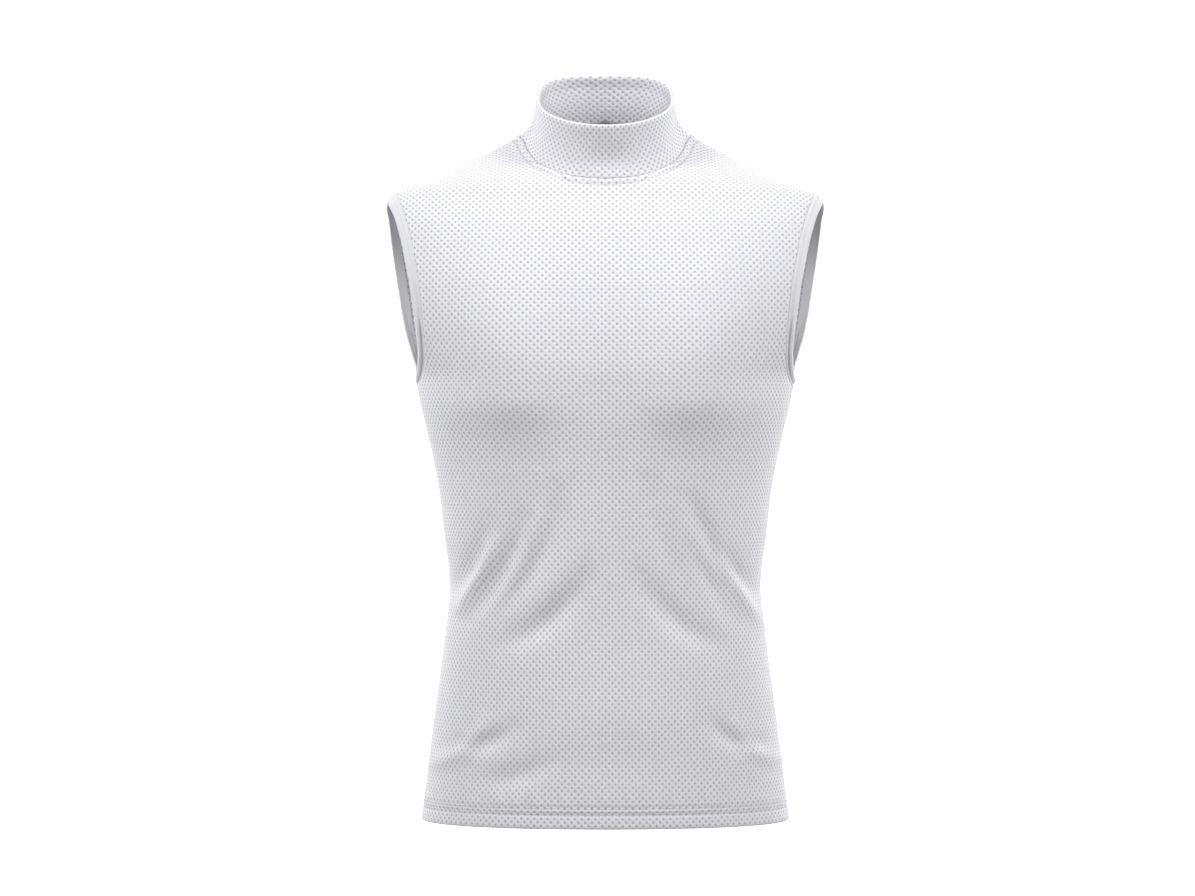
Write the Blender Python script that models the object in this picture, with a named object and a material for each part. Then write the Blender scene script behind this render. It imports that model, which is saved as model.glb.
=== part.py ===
"""Sleeveless mock-neck shirt of white eyelet knit, held hollow as it is worn.

Metres, +Z up. The wearer faces -Y, and the wearer's left is +X. The origin lies midway between
the neck ends of the two shoulder seams, 2 mm below them, so the shirt hangs from Z = 0.

Every piece follows one body surface: a stack of level rings round a general figure. A point of it
is named by its angle round the figure (0 at the centre front, 90 at the left side, 180 at the
centre back) and by its height. Seams, neckline and armholes are lines on that surface.
"""

import math

import bpy
import numpy as np

# Thickness of each piece, and how the pieces meet.
PANEL_WALL = 0.0016
HEM_WALL = 0.0028
BAND_WALL = 0.0022
COLLAR_WALL = 0.0030
SEAM_GAP = 0.0003
ARMHOLE_GAP = 0.0004

# The hem is turned up inside by this much.
HEM = -0.656
HEM_TURN = 0.021

# The body surface: one row for each height, from the hem to the back of the neck. side_y is where
# the side or shoulder seam runs; front_power and back_power are 2 on an ellipse, more when boxier.
SECTION_COLUMNS = ("height", "half_width", "side_y", "front_y", "back_y", "front_power", "back_power")
SECTIONS = (
    (HEM, 0.1762, 0.004, -0.1160, 0.117, 2.20, 2.20),
    (-0.603, 0.1700, 0.004, -0.1165, 0.119, 2.20, 2.20),
    (-0.542, 0.1622, 0.003, -0.1155, 0.112, 2.20, 2.20),
    (-0.480, 0.1540, 0.003, -0.1150, 0.100, 2.20, 2.20),
    (-0.431, 0.1493, 0.003, -0.1160, 0.094, 2.20, 2.20),
    (-0.381, 0.1550, 0.004, -0.1185, 0.095, 2.20, 2.20),
    (-0.335, 0.1605, 0.005, -0.1215, 0.102, 2.20, 2.25),
    (-0.288, 0.1700, 0.006, -0.1240, 0.110, 2.20, 2.30),
    (-0.245, 0.1795, 0.007, -0.1255, 0.116, 2.20, 2.35),
    (-0.232, 0.1820, 0.007, -0.1260, 0.118, 2.20, 2.35),
    (-0.208, 0.1975, 0.007, -0.1250, 0.120, 2.20, 2.35),
    (-0.180, 0.2140, 0.007, -0.1220, 0.121, 2.20, 2.35),
    (-0.145, 0.2245, 0.008, -0.1145, 0.119, 2.20, 2.35),
    (-0.110, 0.2240, 0.009, -0.1035, 0.114, 2.20, 2.35),
    (-0.080, 0.2180, 0.010, -0.0905, 0.107, 2.15, 2.30),
    (-0.063, 0.2105, 0.011, -0.0810, 0.101, 2.10, 2.20),
    (-0.054, 0.2005, 0.011, -0.0770, 0.098, 2.08, 2.15),
    (-0.043, 0.1720, 0.012, -0.0700, 0.094, 2.05, 2.10),
    (-0.030, 0.1425, 0.012, -0.0520, 0.088, 2.00, 2.05),
    (-0.015, 0.1115, 0.012, -0.0260, 0.080, 2.00, 2.00),
    (0.000, 0.0845, 0.012, -0.004, 0.072, 2.00, 2.00),
    (0.018, 0.0660, 0.012, 0.000, 0.062, 2.00, 2.00),
)

# The neckline: its height at each angle, low in front and higher behind.
NECKLINE_COLUMNS = ("angle", "height")
NECKLINE = (
    (0, -0.0460),
    (22, -0.0428),
    (42, -0.0330),
    (58, -0.0228),
    (74, -0.0112),
    (82, -0.0046),
    (90, 0.0020),
    (108, 0.0095),
    (135, 0.0152),
    (180, 0.0180),
)

# The left armhole's edge, once round: shoulder tip, down the front, underarm, up the back.
ARMHOLE_COLUMNS = ("angle", "height")
ARMHOLE = (
    (90.0, -0.0620),
    (78.5, -0.0790),
    (74.3, -0.0960),
    (69.9, -0.1250),
    (67.3, -0.1560),
    (67.5, -0.1880),
    (70.1, -0.2090),
    (76.4, -0.2240),
    (90.0, -0.2320),
    (100.0, -0.2190),
    (105.0, -0.1880),
    (106.0, -0.1500),
    (103.5, -0.1130),
    (98.5, -0.0800),
)
BAND_WIDTH = 0.0115
BAND_CROWN = 0.0008

# The collar's top fold: an oval in a plane that drops towards the front.
COLLAR_TOP_WIDTH = 0.1330
COLLAR_TOP_FRONT_Y = -0.081
COLLAR_TOP_BACK_Y = 0.050
COLLAR_TOP_FRONT_Z = 0.004
COLLAR_TOP_BACK_Z = 0.0625
COLLAR_TOP_FRONT_POWER = 2.0
COLLAR_TOP_BACK_POWER = 3.0
COLLAR_FLARE_SIDE = 0.0115
COLLAR_FLARE_FRONT = 0.0055
COLLAR_FLARE_POWER = 3.4
COLLAR_ROW_POWER = 1.25
COLLAR_SEAM_ROWS = 3
COLLAR_FOLD_STEPS = 3

# Broad swells of the figure under the cloth. The cloth fades over rise above the middle and over
# fall below it.
SWELL_COLUMNS = ("face", "middle_x", "height", "half_width", "rise", "fall", "depth")
SWELLS = (
    ("front", -0.098, -0.250, 0.054, 0.100, 0.040, 0.0115),
    ("front", 0.090, -0.250, 0.054, 0.100, 0.040, 0.0115),
    ("front", 0.000, -0.335, 0.030, 0.060, 0.060, -0.0020),
    ("front", 0.000, -0.560, 0.090, 0.070, 0.080, 0.0030),
    ("back", -0.080, -0.165, 0.058, 0.080, 0.070, 0.0050),
    ("back", 0.080, -0.165, 0.058, 0.080, 0.070, 0.0050),
    ("back", 0.000, -0.330, 0.026, 0.150, 0.120, -0.0040),
)

# Creases of the cloth, from one end to the other. A positive depth is a ridge, a negative one a
# trough; bow bends the crease sideways at its middle.
CREASE_COLUMNS = ("face", "x0", "height0", "x1", "height1", "bow", "half_width", "depth")
CREASES = (
    ("front", -0.146, -0.436, -0.110, -0.368, 0.004, 0.0080, -0.0022),
    ("front", -0.139, -0.452, -0.104, -0.388, 0.003, 0.0062, 0.0029),
    ("front", -0.129, -0.462, -0.078, -0.368, 0.007, 0.0085, -0.0030),
    ("front", -0.116, -0.458, -0.062, -0.366, 0.008, 0.0090, 0.0022),
    ("front", -0.104, -0.452, -0.044, -0.342, 0.012, 0.0105, -0.0023),
    ("front", -0.096, -0.484, -0.022, -0.424, 0.009, 0.0120, -0.0029),
    ("front", -0.070, -0.452, -0.014, -0.362, 0.010, 0.0170, 0.0016),
    ("front", 0.146, -0.464, 0.104, -0.386, -0.004, 0.0068, 0.0030),
    ("front", 0.140, -0.436, 0.080, -0.348, -0.006, 0.0088, -0.0031),
    ("front", 0.122, -0.462, 0.082, -0.392, -0.004, 0.0080, -0.0020),
    ("front", 0.112, -0.448, 0.048, -0.358, -0.009, 0.0100, 0.0018),
    ("front", 0.098, -0.436, 0.040, -0.334, -0.011, 0.0110, -0.0022),
    ("front", 0.108, -0.486, 0.034, -0.424, -0.008, 0.0120, -0.0027),
    ("front", -0.163, -0.600, -0.112, -0.556, 0.008, 0.0080, 0.0026),
    ("front", -0.138, -0.580, -0.088, -0.562, 0.006, 0.0085, -0.0029),
    ("front", 0.168, -0.598, 0.122, -0.560, -0.008, 0.0080, 0.0023),
    ("front", 0.148, -0.580, 0.100, -0.558, -0.006, 0.0085, -0.0027),
    ("front", -0.118, -0.612, -0.052, -0.594, 0.004, 0.0110, -0.0021),
    ("front", -0.060, -0.596, 0.070, -0.594, -0.004, 0.0260, -0.0013),
    ("back", 0.143, -0.438, 0.108, -0.372, -0.003, 0.0080, 0.0022),
    ("back", 0.134, -0.452, 0.076, -0.380, -0.005, 0.0095, -0.0026),
    ("back", 0.118, -0.474, 0.046, -0.410, -0.007, 0.0130, 0.0024),
    ("back", 0.104, -0.494, 0.030, -0.446, -0.006, 0.0120, -0.0026),
    ("back", -0.146, -0.446, -0.112, -0.380, 0.004, 0.0080, 0.0024),
    ("back", -0.132, -0.444, -0.084, -0.366, 0.005, 0.0095, -0.0024),
    ("back", -0.120, -0.478, -0.052, -0.402, 0.007, 0.0130, 0.0026),
    ("back", -0.100, -0.492, -0.028, -0.452, 0.006, 0.0120, -0.0024),
    ("back", 0.158, -0.590, 0.112, -0.556, -0.007, 0.0090, 0.0022),
    ("back", -0.154, -0.584, -0.104, -0.560, 0.007, 0.0100, 0.0022),
)
CREASE_END_SHARE = 0.35
CREASE_FADE_ANGLE = 9.0

# How finely each piece is divided. The pieces share their points along every seam.
PANEL_HALF_COLUMNS = 19
NECK_COLUMNS = 9
HEM_ROWS = 2
ROWS_BELOW_ARMHOLE = 23
ROWS_BESIDE_ARMHOLE = 17
BAND_ROWS = 3
COLLAR_ROWS = 6
FINE_STEPS = 240
STEPS_PER_ROW = 12

COLOURS = {
    "front_panel": (0.83, 0.83, 0.85, 1.0),
    "back_panel": (0.81, 0.81, 0.83, 1.0),
    "collar": (0.80, 0.80, 0.82, 1.0),
    "armhole_band_left": (0.88, 0.88, 0.90, 1.0),
    "armhole_band_right": (0.88, 0.88, 0.90, 1.0),
}


def clear_scene():
    for thing in list(bpy.data.objects):
        bpy.data.objects.remove(thing)


def column(table, names, name):
    return np.array([row[names.index(name)] for row in table], dtype=float)


def smooth(at, knots, values):
    """A curve through the knots whose slope at each one is that of its two neighbours."""
    slopes = np.gradient(values, knots)
    cell = np.clip(np.searchsorted(knots, at) - 1, 0, len(knots) - 2)
    width = knots[cell + 1] - knots[cell]
    t = np.clip((at - knots[cell]) / width, 0.0, 1.0)
    low, high = values[cell], values[cell + 1]
    return (
        low * (1 + 2 * t) * (1 - t) ** 2
        + high * t**2 * (3 - 2 * t)
        + slopes[cell] * width * t * (1 - t) ** 2
        - slopes[cell + 1] * width * t**2 * (1 - t)
    )


def section(name, z):
    heights = column(SECTIONS, SECTION_COLUMNS, "height")
    return smooth(z, heights, column(SECTIONS, SECTION_COLUMNS, name))


def body(angle, z):
    """The point of the plain body surface at an angle round the figure and a height."""
    sine, cosine = np.sin(angle), np.cos(angle)
    middle = section("side_y", z)
    half_width = section("half_width", z)
    in_front = cosine > 0
    depth = np.where(in_front, middle - section("front_y", z), section("back_y", z) - middle)
    power = np.where(in_front, section("front_power", z), section("back_power", z))
    radius = (np.abs(sine / half_width) ** power + np.abs(cosine / depth) ** power) ** (-1 / power)
    return np.stack([radius * sine, middle - radius * cosine, z + 0.0 * angle], axis=-1)


def body_frame(angle, z):
    """How the body surface runs with the angle and with the height, and its outward normal."""
    step = 1e-4
    around = (body(angle + step, z) - body(angle - step, z)) / (2 * step)
    upward = (body(angle, z + step) - body(angle, z - step)) / (2 * step)
    normal = np.cross(around, upward)
    return around, upward, normal / np.linalg.norm(normal, axis=-1, keepdims=True)


def crease_height(x, z, x0, height0, x1, height1, bow, half_width, depth):
    """A soft ridge or trough: a bell across the crease that fades out at both ends."""
    run, rise = x1 - x0, height1 - height0
    length = math.hypot(run, rise)
    along = ((x - x0) * run + (z - height0) * rise) / length**2
    across = ((x - x0) * rise - (z - height0) * run) / length
    inside = np.clip(along, 0, 1)
    across = across - bow * 4 * inside * (1 - inside)
    past = (along - inside) * length
    ends = 1 - (1 - CREASE_END_SHARE) * (2 * inside - 1) ** 2
    return depth * ends * np.exp(-(across**2 + past**2) / half_width**2)


def swell_height(x, z, middle_x, height, half_width, rise, fall, depth):
    """A broad bell that reaches up by rise and down by fall."""
    reach = np.where(z > height, rise, fall)
    return depth * np.exp(-(((x - middle_x) / half_width) ** 2) - ((z - height) / reach) ** 2)


def cloth(angle, z):
    """The outside of the cloth: the body surface with its swells and creases raised on it."""
    point = body(angle, z)
    relief = np.zeros(point.shape[:-1])
    in_front = np.cos(angle) > 0
    kinds = ((SWELL_COLUMNS, SWELLS, swell_height), (CREASE_COLUMNS, CREASES, crease_height))
    for columns, table, height_of in kinds:
        for row in table:
            sizes = dict(zip(columns, row))
            on_face = in_front == (sizes.pop("face") == "front")
            relief += on_face * height_of(point[..., 0], point[..., 2], **sizes)
    from_seam = np.degrees(np.arcsin(np.clip(np.abs(np.cos(angle)), 0, 1)))
    fade = np.clip(from_seam / CREASE_FADE_ANGLE, 0, 1)
    relief *= fade * fade * (3 - 2 * fade)
    return point + body_frame(angle, z)[2] * relief[..., None]


def lengths_along(points):
    steps = np.linalg.norm(np.diff(points, axis=0), axis=1)
    return np.concatenate([[0.0], np.cumsum(steps)])


def face_angle(face, away):
    """The angle round the figure of a point that lies this far from the middle of its panel."""
    return away if face == "front" else math.pi - away


def spread(away, z, fractions, face="front"):
    """Points of a line on the body surface, at these fractions of its length."""
    run = lengths_along(body(face_angle(face, away), z))
    at = np.asarray(fractions) * run[-1]
    return np.interp(at, run, away), np.interp(at, run, z)


def neckline_height(angle):
    degrees = np.degrees(np.abs(angle))
    knots = column(NECKLINE, NECKLINE_COLUMNS, "angle")
    return smooth(degrees, knots, column(NECKLINE, NECKLINE_COLUMNS, "height"))


def armhole_edge():
    """The left armhole's edge as a fine closed line: from the shoulder down the front and back up."""
    angle = np.radians(column(ARMHOLE, ARMHOLE_COLUMNS, "angle"))
    z = column(ARMHOLE, ARMHOLE_COLUMNS, "height")
    count = len(z)
    wrapped = np.arange(-3, count + 4) % count
    run = lengths_along(body(angle[wrapped], z[wrapped]))
    underarm = int(np.argmin(z))
    fine = np.linspace(0, 1, FINE_STEPS)
    even = np.linspace(0, 1, ROWS_BESIDE_ARMHOLE * STEPS_PER_ROW + 1)[:-1]
    halves = []
    for first, last in ((0, underarm), (underarm, count)):
        at = run[3 + first] + (run[3 + last] - run[3 + first]) * fine
        halves.append(spread(smooth(at, run, angle[wrapped]), smooth(at, run, z[wrapped]), even))
    return [np.concatenate(pair) for pair in zip(*halves)]


def moved_from_armhole(angle, z, distance):
    """The closed line moved over the body surface, away from the armhole it surrounds."""
    points = body(angle, z)
    along = np.roll(points, -1, axis=0) - np.roll(points, 1, axis=0)
    around, upward, normal = body_frame(angle, z)
    away = np.cross(normal, along)
    away /= np.linalg.norm(away, axis=1, keepdims=True)
    from_middle = points - points.mean(axis=0)
    away *= np.sign((away * from_middle).sum(axis=1).mean())
    aa, uu = (around**2).sum(axis=1), (upward**2).sum(axis=1)
    au = (around * upward).sum(axis=1)
    da, du = (around * away).sum(axis=1), (upward * away).sum(axis=1)
    scale = distance / (aa * uu - au**2)
    angle = angle + (da * uu - du * au) * scale
    z = z + (du * aa - da * au) * scale
    angle[[0, len(angle) // 2]] = math.pi / 2
    return angle, z


def band_lines():
    """Fine closed lines from the armhole's edge to the band's seam, and the panels' edge beyond it."""
    lines = [armhole_edge()]
    for _ in range(BAND_ROWS):
        lines.append(moved_from_armhole(*lines[-1], BAND_WIDTH / BAND_ROWS))
    return lines, moved_from_armhole(*lines[-1], ARMHOLE_GAP)


def seam_angle(z):
    """The angle by which a panel stops short of the side or shoulder seam."""
    return SEAM_GAP / 2 / section("half_width", z)


def armhole_side(face):
    """The panel's edge beside the armhole, from the side seam up to the shoulder seam."""
    angle, z = (line[::STEPS_PER_ROW] for line in band_lines()[1])
    rows = np.arange(ROWS_BESIDE_ARMHOLE, -1, -1)
    if face == "back":
        rows = (2 * ROWS_BESIDE_ARMHOLE - rows) % (2 * ROWS_BESIDE_ARMHOLE)
    away = np.abs(face_angle(face, angle[rows]))
    return np.minimum(away, math.pi / 2 - seam_angle(z[rows])), z[rows]


def neck_columns(face):
    """How far from the panel's middle each of its columns meets the neckline."""
    away = np.linspace(0, math.pi / 2, FINE_STEPS)
    line = neckline_height(face_angle(face, away))
    return spread(away, line, np.linspace(0, 1, NECK_COLUMNS + 1), face)[0]


def level_row(face, z, across):
    """A panel's columns on one level ring, evenly spaced from its middle to the side seam."""
    stop = math.pi / 2 - seam_angle(z)
    return spread(np.linspace(0, stop, FINE_STEPS), np.full(FINE_STEPS, z), across, face)[0]


def blended(bottom, top, left, right):
    """A grid between four lines: each pair of sides is blended, less the corners counted twice."""
    v, u = np.linspace(0, 1, len(left))[:, None], np.linspace(0, 1, len(bottom))[None, :]
    sides = (1 - u) * left[:, None] + u * right[:, None]
    ends = (1 - v) * bottom[None, :] + v * top[None, :]
    low_corners = (1 - u) * bottom[0] + u * bottom[-1]
    high_corners = (1 - u) * top[0] + u * top[-1]
    return sides + ends - (1 - v) * low_corners - v * high_corners


def panel_grid(face):
    """Angles and heights of one panel's half, row by row from the hem, column 0 in its middle."""
    across = np.linspace(0, 1, PANEL_HALF_COLUMNS + 1)
    side_away, side_z = armhole_side(face)
    hem_top = HEM + HEM_TURN
    hem_z = np.linspace(HEM, hem_top, HEM_ROWS + 1)
    plain_z = np.linspace(hem_top, side_z[0], ROWS_BELOW_ARMHOLE - HEM_ROWS + 1)[1:]
    low_z = np.concatenate([hem_z, plain_z])
    low_away = np.array([level_row(face, z, across) for z in low_z])

    neck_away = neck_columns(face)
    neck_z = neckline_height(face_angle(face, neck_away)) - SEAM_GAP / 2
    shoulder_z = np.linspace(neck_z[-1], side_z[-1], PANEL_HALF_COLUMNS - NECK_COLUMNS + 1)[1:]
    top_z = np.concatenate([neck_z, shoulder_z])
    top_away = np.concatenate([neck_away, np.full(len(shoulder_z), math.pi / 2)])
    top_away = np.minimum(top_away, math.pi / 2 - seam_angle(top_z))

    middle_z = np.linspace(side_z[0], top_z[0], len(side_z))
    high_away = blended(low_away[-1], top_away, np.zeros(len(side_z)), side_away)
    high_z = blended(np.full(len(across), side_z[0]), top_z, middle_z, side_z)
    away = np.concatenate([low_away, high_away[1:]])
    z = np.concatenate([np.repeat(low_z[:, None], len(across), axis=1), high_z[1:]])
    return away, z


def grid_faces(rows, columns, wraps_around=False, wraps_over=False):
    """Quads of a grid numbered row by row. Its last column or row may join its first."""
    row = np.arange(rows if wraps_over else rows - 1)[:, None]
    col = np.arange(columns if wraps_around else columns - 1)[None, :]
    right, above = (col + 1) % columns, (row + 1) % rows
    corners = (row * columns + col, row * columns + right, above * columns + right, above * columns + col)
    return np.stack([corner.ravel() for corner in corners], axis=1)


def wall(outer, inner, wraps_around=False):
    """Points and quads of the wall between two like grids, closed along every open edge."""
    rows, columns = outer.shape[:2]
    count = rows * columns
    number = np.arange(count).reshape(rows, columns)
    if wraps_around:
        rims = [np.append(number[0], number[0, 0]), np.append(number[-1], number[-1, 0])[::-1]]
    else:
        rims = [np.concatenate([number[0], number[1:, -1], number[-1, -2::-1], number[-2::-1, 0]])]
    faces = grid_faces(rows, columns, wraps_around)
    edges = [np.stack([rim[1:], rim[:-1], rim[:-1] + count, rim[1:] + count], axis=1) for rim in rims]
    return np.concatenate([outer, inner]), np.concatenate([faces, faces[:, ::-1] + count, *edges])


def facing_out(points, faces):
    """The quads, turned round if they enclose a negative volume."""
    corners = points.reshape(-1, 3)[faces]
    first, second = np.cross(corners[:, 1], corners[:, 2]), np.cross(corners[:, 2], corners[:, 3])
    volume = (corners[:, 0] * (first + second)).sum()
    return faces if volume > 0 else faces[:, ::-1]


def finish(name, points, faces, parts):
    mesh = bpy.data.meshes.new(name)
    mesh.from_pydata(points.reshape(-1, 3).tolist(), [], facing_out(points, faces).tolist())
    mesh.shade_smooth()
    thing = bpy.data.objects.new(name, mesh)
    parts.objects.link(thing)
    material = bpy.data.materials.new(name)
    material.use_nodes = True
    shader = material.node_tree.nodes["Principled BSDF"]
    shader.inputs["Base Color"].default_value = COLOURS[name]
    shader.inputs["Roughness"].default_value = 0.85
    shader.inputs["Metallic"].default_value = 0.0
    mesh.materials.append(material)
    return thing


def make_panel(face, parts):
    """The front or the back, thicker where the hem is turned up inside."""
    away, z = panel_grid(face)
    away = np.concatenate([-away[:, :0:-1], away], axis=1)
    z = np.concatenate([z[:, :0:-1], z], axis=1)
    angle = face_angle(face, away)
    outer = cloth(angle, z)
    thickness = np.full(len(z), PANEL_WALL)
    thickness[: HEM_ROWS + 1] = HEM_WALL
    inner = outer - body_frame(angle, z)[2] * thickness[:, None, None]
    finish(face + "_panel", *wall(outer, inner), parts)


def make_band(side, parts):
    """The band round one armhole: it follows the body surface and is slightly crowned."""
    outer = []
    inner = []
    for number, (angle, z) in enumerate(band_lines()[0]):
        angle, z = angle[::STEPS_PER_ROW], z[::STEPS_PER_ROW]
        across = 2 * number / BAND_ROWS - 1
        normal = body_frame(angle, z)[2]
        outer.append(cloth(angle, z) + normal * BAND_CROWN * (1 - across**2))
        inner.append(outer[-1] - normal * BAND_WALL)
    points, faces = wall(np.array(outer), np.array(inner), wraps_around=True)
    mirrored = np.array([-1.0 if side == "right" else 1.0, 1.0, 1.0])
    finish("armhole_band_" + side, points * mirrored, faces, parts)


def collar_lines():
    """The collar's outer lines, from its flared base on the neckline up to the oval of its top."""
    half = np.concatenate([neck_columns("front"), math.pi - neck_columns("back")[-2::-1]])
    angle = np.concatenate([-half[:0:-1], half[:-1]])
    neck_z = neckline_height(angle) + SEAM_GAP / 2
    base = body(angle, neck_z)
    sine, cosine = np.sin(angle), np.cos(angle)
    middle_y = (COLLAR_TOP_FRONT_Y + COLLAR_TOP_BACK_Y) / 2
    half_depth = (COLLAR_TOP_BACK_Y - COLLAR_TOP_FRONT_Y) / 2
    power = np.where(cosine > 0, COLLAR_TOP_FRONT_POWER, COLLAR_TOP_BACK_POWER)
    ring = (np.abs(sine) ** power + np.abs(cosine) ** power) ** (-1 / power)
    top_y = middle_y - half_depth * ring * cosine
    slope = (COLLAR_TOP_BACK_Z - COLLAR_TOP_FRONT_Z) / (2 * half_depth)
    top_z = COLLAR_TOP_FRONT_Z + (top_y - COLLAR_TOP_FRONT_Y) * slope - COLLAR_WALL / 2
    top = np.stack([COLLAR_TOP_WIDTH / 2 * ring * sine, top_y, top_z], axis=1)
    outward = np.stack([sine, -cosine, 0 * sine], axis=1)
    flare = COLLAR_FLARE_FRONT + (COLLAR_FLARE_SIDE - COLLAR_FLARE_FRONT) * sine**2
    foot = base - outward * flare[:, None]
    v = np.linspace(0, 1, COLLAR_ROWS + 1)[:, None] ** COLLAR_ROW_POWER
    spare = flare * (1 - v) ** COLLAR_FLARE_POWER
    lines = foot * (1 - v[..., None]) + top * v[..., None] + outward * spare[..., None]
    return lines, body_frame(angle, neck_z)[2]


def make_collar(parts):
    """The mock neck: a strip folded double, so its outer layer turns over the top into its inner one."""
    outer, neck_normal = collar_lines()
    round_neck = np.roll(outer, -1, axis=1) - np.roll(outer, 1, axis=1)
    upward = np.gradient(outer, axis=0)
    upward /= np.linalg.norm(upward, axis=-1, keepdims=True)
    normal = np.cross(round_neck, upward)
    normal /= np.linalg.norm(normal, axis=-1, keepdims=True)
    seam_share = np.clip(1 - np.arange(len(outer)) / COLLAR_SEAM_ROWS, 0, 1)[:, None, None]
    normal = normal * (1 - seam_share) + neck_normal * seam_share
    normal /= np.linalg.norm(normal, axis=-1, keepdims=True)
    inner = outer - normal * COLLAR_WALL
    half_wall = COLLAR_WALL / 2
    turns = np.linspace(0, math.pi, COLLAR_FOLD_STEPS + 2)[1:-1, None, None]
    fold = (outer[-1] + inner[-1]) / 2 + half_wall * (normal[-1] * np.cos(turns) + upward[-1] * np.sin(turns))
    points = np.concatenate([outer, fold, inner[::-1]])
    faces = grid_faces(*points.shape[:2], wraps_around=True, wraps_over=True)
    finish("collar", points, faces, parts)


def main():
    clear_scene()
    parts = bpy.data.collections.new("sleeveless_jockey_shirt")
    bpy.context.scene.collection.children.link(parts)
    make_panel("front", parts)
    make_panel("back", parts)
    make_collar(parts)
    make_band("left", parts)
    make_band("right", parts)


main()
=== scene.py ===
import math

import bpy
import numpy as np
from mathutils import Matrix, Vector
from mathutils.geometry import delaunay_2d_cdt


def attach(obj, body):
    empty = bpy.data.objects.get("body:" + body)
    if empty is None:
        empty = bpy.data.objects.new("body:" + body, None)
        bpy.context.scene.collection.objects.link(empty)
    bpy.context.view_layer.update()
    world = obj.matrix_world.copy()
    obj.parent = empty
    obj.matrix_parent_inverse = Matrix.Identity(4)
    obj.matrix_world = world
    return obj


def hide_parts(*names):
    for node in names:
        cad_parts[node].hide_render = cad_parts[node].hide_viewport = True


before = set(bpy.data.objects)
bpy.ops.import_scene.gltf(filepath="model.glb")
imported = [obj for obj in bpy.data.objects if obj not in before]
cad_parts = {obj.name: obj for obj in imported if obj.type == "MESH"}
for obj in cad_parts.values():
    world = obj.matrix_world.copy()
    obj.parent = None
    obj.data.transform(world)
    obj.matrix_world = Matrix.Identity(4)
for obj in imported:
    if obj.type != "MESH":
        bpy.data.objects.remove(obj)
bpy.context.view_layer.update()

print("frame loaded")


# The surface that the whole shirt follows: level rings round a general figure, one row for each height.
# sideY is where the side and shoulder seams run; a power is 2 on an ellipse and more on a boxier ring.
figureColumns = ("height", "halfWidth", "sideY", "frontY", "backY", "frontPower", "backPower")
figureRows = (
    (-0.656, 0.1762, 0.004, -0.1160, 0.117, 2.20, 2.20),
    (-0.603, 0.1700, 0.004, -0.1165, 0.119, 2.20, 2.20),
    (-0.542, 0.1622, 0.003, -0.1155, 0.112, 2.20, 2.20),
    (-0.480, 0.1540, 0.003, -0.1150, 0.100, 2.20, 2.20),
    (-0.431, 0.1493, 0.003, -0.1160, 0.094, 2.20, 2.20),
    (-0.381, 0.1550, 0.004, -0.1185, 0.095, 2.20, 2.20),
    (-0.335, 0.1605, 0.005, -0.1215, 0.102, 2.20, 2.25),
    (-0.288, 0.1700, 0.006, -0.1240, 0.110, 2.20, 2.30),
    (-0.245, 0.1795, 0.007, -0.1255, 0.116, 2.20, 2.35),
    (-0.232, 0.1820, 0.007, -0.1260, 0.118, 2.20, 2.35),
    (-0.208, 0.1975, 0.007, -0.1250, 0.120, 2.20, 2.35),
    (-0.180, 0.2140, 0.007, -0.1220, 0.121, 2.20, 2.35),
    (-0.145, 0.2245, 0.008, -0.1145, 0.119, 2.20, 2.35),
    (-0.110, 0.2240, 0.009, -0.1035, 0.114, 2.20, 2.35),
    (-0.080, 0.2180, 0.010, -0.0905, 0.107, 2.15, 2.30),
    (-0.063, 0.2105, 0.011, -0.0810, 0.101, 2.10, 2.20),
    (-0.054, 0.2005, 0.011, -0.0770, 0.098, 2.08, 2.15),
    (-0.043, 0.1720, 0.012, -0.0700, 0.094, 2.05, 2.10),
    (-0.030, 0.1425, 0.012, -0.0520, 0.088, 2.00, 2.05),
    (-0.015, 0.1115, 0.012, -0.0260, 0.080, 2.00, 2.00),
    (0.000, 0.0845, 0.012, -0.004, 0.072, 2.00, 2.00),
    (0.018, 0.0660, 0.012, 0.000, 0.062, 2.00, 2.00),
)
figure = dict(zip(figureColumns, np.array(figureRows).T))

# What the cut is made of, in metres; the sewing lines lie on the figure's surface.
cut = {
    "hem": -0.656,
    "hemTurn": 0.021,
    "seamGap": 0.0001,
    "panelWall": 0.0016,
    "hemWall": 0.0028,
    "necklineAngles": (0, 22, 42, 58, 74, 82, 90, 108, 135, 180),
    "necklineHeights": (-0.0460, -0.0428, -0.0330, -0.0228, -0.0112,
                        -0.0046, 0.0020, 0.0095, 0.0152, 0.0180),
    # once round the left armhole: shoulder tip, down the front, underarm, up the back
    "armholeAngles": (90.0, 78.5, 74.3, 69.9, 67.3, 67.5, 70.1, 76.4,
                      90.0, 100.0, 105.0, 106.0, 103.5, 98.5),
    "armholeHeights": (-0.0620, -0.0790, -0.0960, -0.1250, -0.1560, -0.1880, -0.2090, -0.2240,
                       -0.2320, -0.2190, -0.1880, -0.1500, -0.1130, -0.0800),
    "armholeSteps": 200,
    "readSteps": 600,  # how finely a line is read before it is stepped evenly
    "moveStep": 0.003,  # the longest single move of a line over the surface
    "edgeReadSteps": 400,
    "bandWidth": 0.0115,
}


def smoothStep(value, low, high):
    # rises from 0 at low to 1 at high along 3t^2 - 2t^3
    t = np.clip((value - low) / (high - low), 0, 1)
    return t * t * (3 - 2 * t)


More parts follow.
